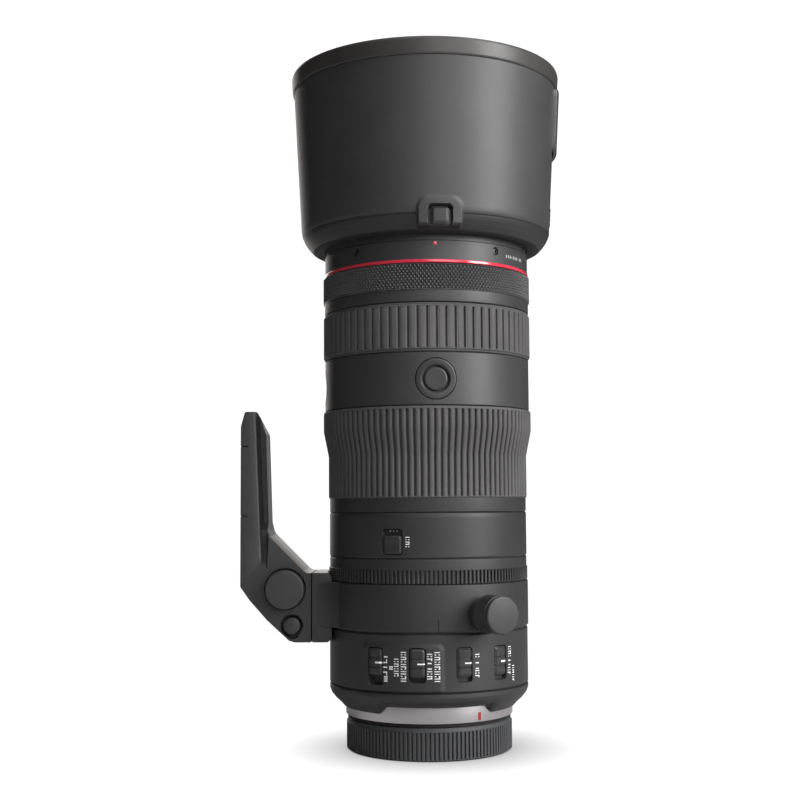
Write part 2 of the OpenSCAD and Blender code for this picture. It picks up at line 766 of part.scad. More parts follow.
rear_cap();
mount_ring();
mount_screws();
mount_gasket();
contact_block();
contact_pins();
rear_cell();
rear_glass();
rear_shroud();
switch_barrel();
stabilizer_mode_switch();
stabilizer_switch();
focus_mode_switch();
focus_limit_switch();
core_tube();
main_board();
collar_ring();
collar_lock_knob();
tripod_foot();
tripod_sockets();
foot_lock_knob();
foot_release_button();
iris_ring();
lock_barrel();
iris_lock_switch();
stabilizer_unit();
stabilizer_cell();
stabilizer_glass();
iris_housing();
iris_blades();
focus_frame();
focus_glass();
focus_motor();
guide_rods();
zoom_ring();
zoom_grip();
zoom_drive_pin();
cam_tube();
variator_frame();
variator_glass();
button_barrel();
button_bezels();
function_button_front();
function_button_side();
focus_ring();
focus_grip();
control_ring();
red_ring();
front_barrel();
front_screws();
index_dot();
filter_ring();
front_cell();
front_element();
front_inner_glass();
hood_shell();
hood_rim();
hood_window_door();
hood_release_button();
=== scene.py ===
"""Looks of the telephoto zoom lens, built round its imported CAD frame.

Lengths inside the script are millimetres, turned into metres when a mesh is made. Angles are
azimuths in degrees, 0 towards -Y (the switch side) and 90 towards +X.
"""

import json
import math

import bmesh
import bpy
import numpy as np
from mathutils import Matrix, Vector


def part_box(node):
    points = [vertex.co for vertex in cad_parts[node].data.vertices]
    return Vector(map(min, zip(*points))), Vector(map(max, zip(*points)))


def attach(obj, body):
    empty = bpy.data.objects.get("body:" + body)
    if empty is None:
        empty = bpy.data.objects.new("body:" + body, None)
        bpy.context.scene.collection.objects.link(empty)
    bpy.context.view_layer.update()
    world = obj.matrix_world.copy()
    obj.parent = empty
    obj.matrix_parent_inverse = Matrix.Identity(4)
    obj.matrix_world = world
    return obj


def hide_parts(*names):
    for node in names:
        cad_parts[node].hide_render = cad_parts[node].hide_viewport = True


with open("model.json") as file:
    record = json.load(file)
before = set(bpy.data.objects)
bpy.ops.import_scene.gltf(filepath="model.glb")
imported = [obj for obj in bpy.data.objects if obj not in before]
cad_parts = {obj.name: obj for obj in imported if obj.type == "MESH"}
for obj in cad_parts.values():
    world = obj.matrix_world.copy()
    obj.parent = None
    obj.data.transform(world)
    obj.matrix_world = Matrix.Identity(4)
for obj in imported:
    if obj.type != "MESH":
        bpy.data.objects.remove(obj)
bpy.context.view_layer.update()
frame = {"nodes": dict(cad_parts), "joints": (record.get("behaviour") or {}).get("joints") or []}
MM = 0.001
NODES = frame["nodes"]


def span(node):
    """Lowest z, highest z and half width along Y of a CAD node, in mm."""
    low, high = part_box(node)
    return low.z / MM, high.z / MM, high.y / MM


# ---------------------------------------------------------------- measures used more than once, in mm

REAR_R = 41.35                      # switch barrel and lock barrel
PANEL_R = 42.0                      # raised panel of the stabiliser switches
COLLAR_Z = (50.4, 69.2)             # lower and upper edge of the collar's band
KNOB_Z = 58                         # axis of the collar knob
FOOT_FACE = -77.3                   # x of the foot's outer face
FOOT_KNOB = (-58.7, 66.2)           # x and z of the axis of the foot's knob
FOOT_BUTTON = (-56, 51.4)           # x and z of the axis of the foot's button
FUNCTION_Z = 150                    # height of the two function buttons
SCREW_Z = 202.4                     # height of the screws in the front barrel
HOOD_SIDE_R = 53.5                  # hood radius that sideways lengths are taken on
RELEASE_FRAME = (211.0, 19.0, 19.8, 5.2)    # height, width, length and corner of the raised frame

# ---------------------------------------------------------------- camera, light and stage

FOCAL_LENGTH = 58.82
CAMERA_AT = (0, -0.555, 0.101)
AMBIENT = 0.025                     # strength of the light from all round
# CONTACT_SHADE is the darkest level of the floor's painted contact shadow.
CONTACT_SHADE = 0.18                # floor brightness where the lens touches it
PAPER = 1.05                        # floor brightness in the open


def add_camera():
    """The camera stands low in front of the lens and looks slightly up, a little to the left."""
    data = bpy.data.cameras.new("camera")
    data.sensor_width = 36
    data.lens = FOCAL_LENGTH
    data.clip_start = 0.01
    data.clip_end = 50
    camera = bpy.data.objects.new("camera", data)
    bpy.context.scene.collection.objects.link(camera)
    forward = Vector((-0.02058, 0.99666, 0.07905)).normalized()
    up = Vector((0.00748, -0.07891, 0.99685))
    right = forward.cross(up).normalized()
    up = right.cross(forward)
    turn = Matrix((right, up, -forward)).transposed().to_4x4()
    camera.matrix_world = Matrix.Translation(CAMERA_AT) @ turn
    bpy.context.scene.camera = camera


def add_light(name, azimuth, distance, height, size, watts, colour=(1, 1, 1), aim=0.15):
    """A soft box at an azimuth and distance from the lens, aimed at its axis."""
    data = bpy.data.lights.new(name, "AREA")
    data.shape = "RECTANGLE"
    data.size, data.size_y = size
    data.energy = watts
    data.color = colour
    light = bpy.data.objects.new(name, data)
    bpy.context.scene.collection.objects.link(light)
    a = math.radians(azimuth)
    light.location = (distance * math.sin(a), -distance * math.cos(a), height)
    aim_at = Vector((0, 0, aim)) - light.location
    light.rotation_euler = aim_at.to_track_quat("-Z", "Y").to_euler()


def add(tree, kind, **values):
    """A shader node with the values of its inputs, where _ stands for a space."""
    node = tree.nodes.new("ShaderNode" + kind)
    for key, value in values.items():
        node.inputs[key.replace("_", " ")].default_value = value
    return node


def camera_split(tree, seen, unseen):
    """A shader that the camera sees as one thing and the light as another."""
    path = add(tree, "LightPath")
    mix = add(tree, "MixShader")
    tree.links.new(path.outputs["Is Camera Ray"], mix.inputs[0])
    tree.links.new(unseen, mix.inputs[1])
    tree.links.new(seen, mix.inputs[2])
    return mix.outputs[0]


def add_stage():
    """A white studio and a pale floor that glows, darkened only close under the lens by a shadow painted from
    ambient occlusion.
    """
    world = bpy.data.worlds.new("studio")
    bpy.context.scene.world = world
    world.use_nodes = True
    tree = world.node_tree
    tree.nodes.clear()
    backdrop = add(tree, "Background", Color=(1, 1, 1, 1), Strength=1.1)
    ambient = add(tree, "Background", Color=(1, 0.97, 0.95, 1), Strength=AMBIENT)
    out = add(tree, "OutputWorld")
    tree.links.new(camera_split(tree, backdrop.outputs[0], ambient.outputs[0]), out.inputs[0])

    bpy.ops.mesh.primitive_plane_add(size=8)
    floor = bpy.context.object
    floor.name = "floor"
    material = bpy.data.materials.new("pale_floor")
    material.use_nodes = True
    tree = material.node_tree
    tree.nodes.clear()
    # Painted shadow: ambient occlusion dims the floor's glow near the lens, down to CONTACT_SHADE.
    open_sky = add(tree, "AmbientOcclusion", Distance=0.03)
    level = add(tree, "MapRange", To_Min=CONTACT_SHADE, To_Max=PAPER)
    painted_shadow = add(tree, "Emission")
    tree.links.new(open_sky.outputs["AO"], level.inputs["Value"])
    tree.links.new(level.outputs["Result"], painted_shadow.inputs["Strength"])
    white = add(tree, "Emission", Strength=PAPER)
    where = add(tree, "TexCoord")
    ball = add(tree, "VectorMath")
    ball.operation = "LENGTH"
    fade = add(tree, "MapRange", From_Min=0.08, From_Max=0.15)
    blend = add(tree, "MixShader")
    tree.links.new(where.outputs["Object"], ball.inputs[0])
    tree.links.new(ball.outputs["Value"], fade.inputs["Value"])
    tree.links.new(fade.outputs["Result"], blend.inputs[0])
    tree.links.new(painted_shadow.outputs[0], blend.inputs[1])
    tree.links.new(white.outputs[0], blend.inputs[2])
    dull = add(tree, "BsdfDiffuse", Color=(0.5, 0.5, 0.5, 1))
    out = add(tree, "OutputMaterial")
    tree.links.new(camera_split(tree, blend.outputs[0], dull.outputs[0]), out.inputs[0])
    floor.data.materials.append(material)
    bpy.context.scene.view_settings.view_transform = "Standard"


# ---------------------------------------------------------------- materials

def noise(tree, scale, detail=2.0, stretch=(1, 1, 1)):
    """Noise on the object's own coordinates, in features per metre."""
    where = add(tree, "TexCoord")
    scaled = add(tree, "Mapping", Scale=[s * scale for s in stretch])
    texture = add(tree, "TexNoise", Scale=1, Detail=detail)
    tree.links.new(where.outputs["Object"], scaled.inputs["Vector"])
    tree.links.new(scaled.outputs["Vector"], texture.inputs["Vector"])
    return texture.outputs["Fac"]


def surface(name, colour, rough, metal=0.0, vary=0.12, grain=1600, bump=0.12, rough_vary=0.06,
            coat=0.0, sheen=0.0, stretch=(1, 1, 1), blotch=60):
    """Principled material with mottled colour, uneven gloss and a fine grain."""
    material = bpy.data.materials.new(name)
    material.use_nodes = True
    tree = material.node_tree
    shader = tree.nodes["Principled BSDF"]
    shader.inputs["Metallic"].default_value = metal
    shader.inputs["Coat Weight"].default_value = coat
    shader.inputs["Coat Roughness"].default_value = 0.12
    shader.inputs["Sheen Weight"].default_value = sheen

    mottle = noise(tree, blotch, 4)
    fine = noise(tree, grain, 3, stretch)
    both = add(tree, "Math")
    both.operation = "ADD"
    tree.links.new(mottle, both.inputs[0])
    tree.links.new(fine, both.inputs[1])
    ramp = add(tree, "ValToRGB")
    for stop, place, gain in zip(ramp.color_ramp.elements, (0.35, 0.65), (1 - vary, 1 + vary)):
        stop.position = place
        stop.color = [c * gain for c in colour] + [1]
    half = add(tree, "Math")
    half.operation = "MULTIPLY"
    half.inputs[1].default_value = 0.5
    tree.links.new(both.outputs[0], half.inputs[0])
    tree.links.new(half.outputs[0], ramp.inputs[0])
    tree.links.new(ramp.outputs["Color"], shader.inputs["Base Color"])

    gloss = add(tree, "MapRange", To_Min=rough - rough_vary, To_Max=rough + rough_vary)
    tree.links.new(fine, gloss.inputs["Value"])
    tree.links.new(gloss.outputs["Result"], shader.inputs["Roughness"])

    if bump:
        relief = add(tree, "Bump", Strength=bump, Distance=0.0002)
        tree.links.new(fine, relief.inputs["Height"])
        tree.links.new(relief.outputs["Normal"], shader.inputs["Normal"])
    return material


def glass(name, tint):
    """Coated optical glass."""
    material = surface(name, tint, 0.03, vary=0.02, bump=0, rough_vary=0.01, coat=0.6)
    shader = material.node_tree.nodes["Principled BSDF"]
    shader.inputs["Transmission Weight"].default_value = 0.85
    shader.inputs["IOR"].default_value = 1.6
    return material


M = {
    "paint": surface("satin_black_paint", (0.040, 0.040, 0.041), 0.46, grain=2600, bump=0.10),
    "paint_low": surface("satin_black_paint_rear", (0.026, 0.026, 0.027), 0.50, grain=2600, bump=0.10),
    "knurl": surface("knurled_metal", (0.066, 0.066, 0.068), 0.40, grain=2600, bump=0.05),
    "hood": surface("hood_plastic", (0.045, 0.045, 0.046), 0.48, grain=1900, bump=0.16),
    # Darker hood plastic, painted shade for the hood's base band below its cone.
    "hood_painted_shade": surface("hood_plastic_painted_shade", (0.020, 0.020, 0.021), 0.52, grain=1900, bump=0.16),
    "flock": surface("hood_flocking", (0.012, 0.012, 0.012), 0.95, grain=4000, bump=0.5, sheen=0.15),
    "rubber": surface("grip_rubber", (0.076, 0.073, 0.074), 0.72, grain=2200, bump=0.2, vary=0.18),
    "rim": surface("rim_rubber", (0.048, 0.045, 0.044), 0.40, grain=2400, bump=0.12),
    "cap": surface("cap_plastic", (0.052, 0.053, 0.056), 0.62, grain=2800, bump=0.22),
    "gloss": surface("button_plastic", (0.030, 0.030, 0.031), 0.36, grain=3000, bump=0.05),
    # Near-black: the real black of the mount gasket, and painted shade in the ring gaps and under the hood.
    "dark": surface("black_and_painted_shade", (0.006, 0.006, 0.006), 0.8, grain=2000, bump=0.1),
    "silver": surface("brushed_mount", (0.56, 0.53, 0.54), 0.34, metal=1.0, grain=700, bump=0.06,
                      vary=0.05, stretch=(0.12, 0.12, 6), rough_vary=0.08),
    "steel": surface("screw_steel", (0.30, 0.30, 0.31), 0.35, metal=1.0, grain=2500, bump=0.08),
    "black_steel": surface("black_screw", (0.05, 0.05, 0.052), 0.4, metal=0.6, grain=2500, bump=0.1),
    "gold": surface("contact_gold", (0.80, 0.56, 0.24), 0.25, metal=1.0, grain=2500, bump=0.03),
    "red": surface("red_enamel", (0.72, 0.040, 0.075), 0.16, grain=900, bump=0.0, coat=0.9, vary=0.08),
    "red_dull": surface("red_paint", (0.30, 0.010, 0.018), 0.5, grain=900, bump=0.05, vary=0.08),
    "white": surface("white_marking", (0.88, 0.88, 0.87), 0.6, grain=3500, bump=0.1, vary=0.08),
    "grey_mark": surface("grey_marking", (0.42, 0.42, 0.42), 0.6, grain=3500, bump=0.1, vary=0.08),
    # Near-black painted shade for the walls of the foot's grooves and of the button's halo recess.
    "foot_shade": surface("foot_recess_painted_shade", (0.010, 0.010, 0.010), 0.6, grain=2300, bump=0.14),
    "foot": surface("foot_paint", (0.038, 0.038, 0.039), 0.48, grain=2300, bump=0.14),
    "metal_dark": surface("anodised_tube", (0.09, 0.09, 0.10), 0.4, metal=0.8, grain=900, bump=0.05),
    "board": surface("circuit_board", (0.02, 0.10, 0.05), 0.45, grain=1200, bump=0.1, vary=0.3),
    "glass": glass("coated_glass", (0.62, 0.70, 0.72)),
    "front_glass": glass("front_glass", (0.50, 0.56, 0.62)),
}


# ---------------------------------------------------------------- mesh builders

def make(name, verts, faces, materials, face_slots=None, sharp=32.0, turn_out=True):
    """A mesh object from points in mm, smooth but for its sharp edges, faces turned outwards."""
    mesh = bpy.data.meshes.new(name)
    mesh.from_pydata((np.asarray(verts, float) * MM).tolist(), [], faces)
    for material in materials:
        mesh.materials.append(M[material])
    if face_slots is not None:
        mesh.polygons.foreach_set("material_index", np.asarray(face_slots, np.int32))
    if turn_out:
        work = bmesh.new()
        work.from_mesh(mesh)
        bmesh.ops.recalc_face_normals(work, faces=work.faces)
        work.to_mesh(mesh)
        work.free()
    mesh.shade_smooth()
    mesh.set_sharp_from_angle(angle=math.radians(sharp))
    mesh.update()
    obj = bpy.data.objects.new(name, mesh)
    bpy.context.scene.collection.objects.link(obj)
    return obj


def torus_faces(n, m):
    """Quads of an n by m grid whose rows and columns both close."""
    i, j = np.arange(n)[:, None], np.arange(m)[None, :]
    i1, j1 = (i + 1) % n, (j + 1) % m
    return np.stack([i * m + j, i1 * m + j, i1 * m + j1, i * m + j1], -1).reshape(-1, 4).tolist()


def patch_faces(n, m):
    """Quads of an open n by m grid, and its border as a loop of point numbers."""
    index = np.arange(n * m).reshape(n, m)
    corners = index[:-1, :-1], index[1:, :-1], index[1:, 1:], index[:-1, 1:]
    border = np.concatenate([index[:, 0], index[-1, 1:], index[-2::-1, -1], index[0, -2:0:-1]])
    return np.stack(corners, -1).reshape(-1, 4), border


def prism_faces(n):
    """Two end caps and n sides between them."""
    return [list(range(n)), list(range(2 * n - 1, n - 1, -1))] + [
        [k, (k + 1) % n, (k + 1) % n + n, k + n] for k in range(n)]


def place(obj, body, slot, *replaced):
    """Rides the piece on its body and hides the CAD nodes it stands for. Its slot argument is not used."""
    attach(obj, body)
    if replaced:
        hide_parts(*replaced)
    return obj


def fillet(points, steps=4):
    """A closed outline with rounded corners. Each point is (r, z) or (r, z, corner radius)."""
    out = []
    count = len(points)
    for i, point in enumerate(points):
        here = np.array(point[:2], float)
        radius = point[2] if len(point) > 2 else 0
        before = np.array(points[i - 1][:2], float) - here
        after = np.array(points[(i + 1) % count][:2], float) - here
        lengths = np.linalg.norm(before), np.linalg.norm(after)
        if not radius or min(lengths) < 1e-6:
            out.append(tuple(here))
            continue
        u, v = before / lengths[0], after / lengths[1]
        half = math.acos(max(-1, min(1, float(u @ v)))) / 2
        back = min(radius / math.tan(half), 0.49 * min(lengths)) if half < 1.5 else 0
        if back < 1e-4:
            out.append(tuple(here))
            continue
        start, end = here + u * back, here + v * back
        for k in range(steps + 1):
            t = k / steps
            out.append(tuple((1 - t) ** 2 * start + 2 * t * (1 - t) * here + t * t * end))
    return out


def anticlockwise(outline):
    x, y = np.array(outline, float).T
    area = np.sum(x * np.roll(y, -1) - np.roll(x, -1) * y)
    return outline if area > 0 else outline[::-1]


def rows(r, z0, z1, step):
    """Points up a straight wall of an outline."""
    n = max(1, round((z1 - z0) / step))
    return [(r, z0 + (z1 - z0) * k / n) for k in range(n + 1)]


def azimuths(base, dense=()):
    """Azimuth samples: an even base step, and finer steps inside (start, end, step) windows."""
    samples = set(np.round(np.arange(0, 360, base), 4))
    for start, end, step in dense:
        samples = {s for s in samples if not start < (s + 180) % 360 - 180 < end}
        samples |= set(np.round(np.arange(start, end, step) % 360, 4))
    return np.array(sorted(samples))


def turned(name, outline, materials, az=None, relief=None, keep_r=0.0, sharp=32.0, slot_of=None, raised=None):
    """A turned solid from a closed outline. relief(azimuth, z, r) moves points beyond keep_r outwards.

    raised(azimuth, z, r) moves points up, and slot_of(r, z) picks the material of a row of faces.
    """
    az = azimuths(2.0) if az is None else az
    outline = anticlockwise(outline)
    r, z = np.array(outline).T
    angle = np.radians(az)[:, None]
    radius = np.repeat(r[None, :], len(az), 0)
    height = np.repeat(z[None, :], len(az), 0)
    if relief is not None:
        shift = relief(np.repeat(az[:, None], len(r), 1), height, radius)
        radius = radius + np.where(r[None, :] >= keep_r, shift, 0)
    if raised is not None:
        height = height + raised(np.repeat(az[:, None], len(r), 1), height, radius)
    verts = np.stack([radius * np.sin(angle), -radius * np.cos(angle), height], -1).reshape(-1, 3)
    n, m = len(az), len(r)
    slots = None
    if slot_of is not None:
        row = [slot_of((r[k] + r[(k + 1) % m]) / 2, (z[k] + z[(k + 1) % m]) / 2) for k in range(m)]
        slots = np.tile(row, n)
    return make(name, verts, torus_faces(n, m), materials, slots, sharp, turn_out=False)


def band(name, points, steps, material, rides, az=None, relief=None, keep_r=0.0, sharp=32.0):
    """A turned piece of one material. rides is its body, its material slot and the node it stands for."""
    return place(turned(name, fillet(points, steps), [material], az, relief, keep_r, sharp), *rides)


def solid_turned(name, outline, materials, az=None, **options):
    """A turned solid whose outline starts and ends on the axis."""
    inner = [(max(r, 0.001), z) for r, z in outline]
    return turned(name, inner, materials, az, **options)


def smooth(edge0, edge1, x):
    t = np.clip((x - edge0) / (edge1 - edge0), 0, 1)
    return t * t * (3 - 2 * t)


def round_box(x, y, w, h, r):
    """Signed distance in mm to a rounded rectangle, negative inside."""
    qx, qy = np.abs(x) - w / 2 + r, np.abs(y) - h / 2 + r
    return np.hypot(np.maximum(qx, 0), np.maximum(qy, 0)) + np.minimum(np.maximum(qx, qy), 0) - r


def arc(az, centre, r):
    """Arc length in mm from the azimuth centre."""
    return np.radians((az - centre + 180) % 360 - 180) * r


def on_side(az, z, x, y, h):
    """Points of a flat patch at azimuth az: x along the turn, y up, h out from the axis."""
    a = math.radians(az)
    x, y, h = np.broadcast_arrays(x, y, h)
    return np.stack([h * math.sin(a) + x * math.cos(a), -h * math.cos(a) + x * math.sin(a), z + y], -1)


def side_turned(name, az, z, outline, materials, n=64, ripple=None, sharp=32.0):
    """A knob or button turned about the radial line at azimuth az. The outline is (radius, h)."""
    return spun(name, lambda x, y, h: on_side(az, z, x, y, h), outline, materials, n, ripple, sharp)


def spun(name, put, outline, materials, n=64, ripple=None, sharp=32.0):
    r, h = np.array(anticlockwise(outline), float).T
    r = np.maximum(r, 0.001)
    t = np.linspace(0, 2 * math.pi, n, endpoint=False)[:, None]
    radius = np.repeat(r[None, :], n, 0)
    if ripple is not None:
        radius = radius + ripple(np.degrees(t), h[None, :], r[None, :])
    verts = put(radius * np.cos(t), radius * np.sin(t), np.repeat(h[None, :], n, 0)).reshape(-1, 3)
    return make(name, verts, torus_faces(n, len(r)), materials, None, sharp)


def squircle(w, h, r, n):
    """An n by n grid whose border follows a rounded rectangle, and each point's edge distance."""
    u = np.linspace(-1, 1, n)
    x, y = np.meshgrid(u * w / 2, u * h / 2, indexing="ij")
    cx, cy = w / 2 - r, h / 2 - r
    dx, dy = np.maximum(np.abs(x) - cx, 0), np.maximum(np.abs(y) - cy, 0)
    length = np.maximum(np.hypot(dx, dy), 1e-9)
    shrink = np.where((dx > 0) & (dy > 0), np.maximum(dx, dy) / length, 1)
    x = np.where(dx > 0, np.sign(x) * (cx + dx * shrink), x)
    y = np.where(dy > 0, np.sign(y) * (cy + dy * shrink), y)
    return x, y, -round_box(x, y, w, h, r)


def tile(name, put, size, low, top, materials, n=25, slot_of=None, sharp=32.0):
    """A rounded block: a shaped top over a straight side down to low. top(x, y, edge) is its height."""
    w, h, r = size
    x, y, edge = squircle(w, h, r, n)
    high = top(x, y, edge)
    verts = put(x, y, high).reshape(-1, 3)
    faces, loop = patch_faces(n, n)
    slots = np.zeros(len(faces), int)
    if slot_of is not None:
        mid = lambda g: (g[:-1, :-1] + g[1:, 1:]) / 2
        slots = slot_of(mid(x), mid(y)).reshape(-1).astype(int)
    base = put(x.reshape(-1)[loop], y.reshape(-1)[loop], np.full(len(loop), low)).reshape(-1, 3)
    first = len(verts)
    ring = np.arange(len(loop)) + first
    sides = np.stack([loop, np.roll(loop, -1), np.roll(ring, -1), ring], -1)
    faces = faces.tolist() + sides.tolist() + [ring[::-1].tolist()]
    slots = np.concatenate([slots, np.zeros(len(sides) + 1, int)])
    return make(name, np.vstack([verts, base]), faces, materials, slots, sharp)


def marks(name, body, r, bars, material="white"):
    """Printed marks on a barrel of radius r. Each bar is (azimuth, z, x offset, width, height)."""
    lift = 0.03
    verts, faces = [], []
    for az, z, x0, w, h in bars:
        n = max(2, int(w / 0.5) + 1)
        xs = x0 + np.linspace(-w / 2, w / 2, n)
        angles = math.radians(az) + xs / r
        start = len(verts)
        low, high = z - h / 2, z + h / 2
        for rr, zz in ((r + lift, low), (r + lift, high), (r - lift, high), (r - lift, low)):
            verts += [(rr * math.sin(a), -rr * math.cos(a), zz) for a in angles]
        for k in range(n - 1):
            for side in range(4):
                a, b = start + side * n + k, start + (side + 1) % 4 * n + k
                faces.append((a, a + 1, b + 1, b))
        faces.append([start + s * n for s in range(4)])
        faces.append([start + s * n + n - 1 for s in range(3, -1, -1)])
    return place(make(name, verts, faces, [material], sharp=30), body, "matte_black")


def ribs(n, profile, z0, z1, end=0.35):
    """Azimuth samples and relief of n straight ribs. profile is one rib as (share of pitch, lift)."""
    share, lift = np.array(profile, float).T
    az = ((np.arange(n)[:, None] + share) * 360 / n).ravel()

    def relief(a, z, r):
        level = np.interp(a * n / 360 % 1, np.append(share, 1), np.append(lift, lift[0]))
        return level * smooth(z0, z0 + end, z) * (1 - smooth(z1 - end, z1, z))
    return az, relief


def rib_rows(r, z0, z1, end=0.35):
    """Wall rows that carry the rounded ends of ribs."""
    return [(r, z0 + end * k / 3) for k in range(4)] + [(r, z1 - end * k / 3) for k in (3, 2, 1, 0)]


def sector(name, outer, inner, az0, az1, z0, z1, materials, na=12, nz=2, sharp=32.0):
    """A closed block between two radii (numbers or functions of azimuth and z) over an azimuth range."""
    az = np.linspace(az0, az1, na)[:, None]
    z = np.linspace(z0, z1, nz)[None, :]
    az, z = np.broadcast_arrays(az, z)
    skins = []
    for radius in (outer, inner):
        r = radius(az, z) if callable(radius) else np.full(az.shape, float(radius))
        a = np.radians(az)
        skins.append(np.stack([r * np.sin(a), -r * np.cos(a), z], -1).reshape(-1, 3))
    quads, edge = patch_faces(na, nz)
    ahead = np.roll(edge, -1)
    shift = na * nz
    sides = np.stack([edge, edge + shift, ahead + shift, ahead], -1)
    faces = quads.tolist() + (quads[:, ::-1] + shift).tolist() + sides.tolist()
    return make(name, np.vstack(skins), faces, materials, None, sharp)


def prism(name, outline, axis, low, high, materials, bevel=0.0, segments=3, soft=None, sharp=32.0):
    """A plate from a 2-D outline: axis "y" extrudes (x, z) points, axis "z" extrudes (x, y) points.

    Edges round the two faces are bevelled where soft(x, y or z) is true.
    """
    put = (lambda u, v, w: (u, w, v)) if axis == "y" else (lambda u, v, w: (u, v, w))
    n = len(outline)
    verts = [put(u, v, low) for u, v in outline] + [put(u, v, high) for u, v in outline]
    work = bmesh.new()
    points = [work.verts.new(v) for v in verts]
    for face in prism_faces(n):
        work.faces.new([points[k] for k in face])
    bmesh.ops.recalc_face_normals(work, faces=work.faces)
    if bevel:
        across = 1 if axis == "y" else 2
        rim = []
        for e in work.edges:
            a, b = (v.co for v in e.verts)
            mid = (a + b) / 2
            if abs(a[across] - b[across]) < 1e-6 and (soft is None or soft(mid[0], mid[3 - across])):
                rim.append(e)
        bmesh.ops.bevel(work, geom=rim, offset=bevel, segments=segments, profile=0.5, affect="EDGES",
                        clamp_overlap=True)
    work.verts.ensure_lookup_table()
    work.verts.index_update()
    found = [tuple(v.co) for v in work.verts]
    polygons = [[v.index for v in f.verts] for f in work.faces]
    work.free()
    return make(name, found, polygons, materials, None, sharp)


def loft(name, sections, materials):
    """A closed skin over cross-sections that have equal numbers of points."""
    m, count = len(sections[0]), len(sections)
    faces = [list(range(m)), list(range(count * m - 1, (count - 1) * m - 1, -1))]
    for k in range(count - 1):
        for i in range(m):
            a, b = k * m + i, k * m + (i + 1) % m
            faces += [[a, b, b + m], [a, b + m, a + m]]
    return make(name, [point for section in sections for point in section], faces, materials)


def carve(obj, cutters, sharp=32.0):
    """Cuts the cutters out of obj and removes them."""
    for cutter in cutters:
        change = obj.modifiers.new("cut", "BOOLEAN")
        change.operation = "DIFFERENCE"
        change.solver = "EXACT"
        change.object = cutter
    bpy.context.view_layer.update()
    cut = bpy.data.meshes.new_from_object(obj.evaluated_get(bpy.context.evaluated_depsgraph_get()))
    obj.modifiers.clear()
    obj.data = cut
    cut.shade_smooth()
    cut.set_sharp_from_angle(angle=math.radians(sharp))
    for cutter in cutters:
        bpy.data.objects.remove(cutter)
    return obj


def rod(name, axis, centre, radius, low, high, n=64):
    """A plain cylinder along x, y or z, used as a cutter."""
    t = np.linspace(0, 2 * math.pi, n, endpoint=False)
    ring = np.stack([radius * np.cos(t), radius * np.sin(t)], -1)
    order = {"x": (2, 0, 1), "y": (0, 2, 1), "z": (0, 1, 2)}[axis]
    verts = []
    for w in (low, high):
        for u, v in ring + np.array(centre):
            verts.append(np.array([u, v, w])[list(order)])
    return make(name, verts, prism_faces(n), ["dark"])


# ---------------------------------------------------------------- places read from the frame

def az_of(node):
    """Azimuth of a small part on the side of the lens, from the middle of its box."""
    low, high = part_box(node)
    mid = (low + high) / 2
    return math.degrees(math.atan2(mid.x, -mid.y))


def travel(joint):
    """Range of a sliding joint, in mm."""
    low, high = next(j for j in frame["joints"] if j["name"] == joint)["range_m"]
    return low / MM, high / MM


def slot_of(node, joint, width, r):
    """Slot of a slider: azimuth, width, lowest z, highest z, barrel radius."""
    z0, z1, _ = span(node)
    low, high = travel(joint)
    return az_of(node), width, z0 + low - 0.3, z1 + high + 0.3, r


def cut_slots(slots, floor):
    """relief that sinks rounded slots into a barrel."""
    def relief(az, z, r):
        keep = np.ones(np.shape(az))
        for a, w, z0, z1, r_barrel in slots:
            d = round_box(arc(az, a, r_barrel), z - (z0 + z1) / 2, w, z1 - z0, 1.3)
            keep = np.minimum(keep, smooth(-0.14, 0.06, d))
        return (floor - r) * (1 - keep)
    return relief


def round_wells(places, r, floor, edge0, edge1):
    """relief that sinks round holes at (azimuth, z) places into a barrel of radius r."""
    def relief(az, z, r_here):
        out = np.zeros(np.shape(az))
        for a, zc in places:
            out = out + (floor - r_here) * (1 - smooth(edge0, edge1, np.hypot(arc(az, a, r), z - zc)))
        return out
    return relief


def add_lugs(name, radii, az, half, heights, material, body, slot):
    """Three bayonet lugs, evenly spaced, the first one round azimuth az."""
    for i in range(3):
        mid = az + i * 120
        lug = sector(f"{name}_{i}", *radii, mid - half, mid + half, *heights, [material])
        place(lug, body, slot)


def dashes(az, z0, z1, width, pitch=0.92):
    """A column of small bars in the place of a printed label."""
    bars, z, k = [], z1, 0
    while z - 0.5 > z0:
        if k % 3 != 1:
            bars.append((az, z - 0.25, 0, width, 0.34))
        else:
            bars += [(az, z - 0.25, side * width * 0.34, width * 0.3, 0.34) for side in (-1, 1)]
        if k % 4 == 2:
            bars.append((az, z - 0.7, width * 0.38, width * 0.2, 0.6))
        z -= pitch
        k += 1
    return bars


def thumb(name, node, body, slot, line_z):
    """A slider with two finger grooves and a white line from its middle to its right edge."""
    az, width, _, _, r = slot
    low, high, _ = span(node)
    mid, height = (low + high) / 2, high - low

    def top(x, y, edge):
        out = r + 0.28 - x ** 2 / (2 * r) - 0.5 * (1 - smooth(0, 1.0, edge))
        if line_z is None:
            return out + 0.25 * smooth(height / 2 - 3.4, height / 2 - 1.2, y) - 0.2
        for side in (-1, 1):
            out = out - 0.3 * (1 - smooth(0.12, 0.34, np.abs(y - side * 1.75 - line_z + mid)))
        return out

    def paint(x, y):
        if line_z is None:
            return np.zeros(x.shape)
        return (x > 0) & (np.abs(y - line_z + mid) < 0.33)
    put = lambda x, y, h: on_side(az, mid, x, y, h)
    obj = tile(name, put, (width - 0.6, height, 1.1), r - 1.75, top, ["gloss", "white"], 61, paint)
    return place(obj, body, "gloss_black", node)


# ---------------------------------------------------------------- rear cap, mount and switches

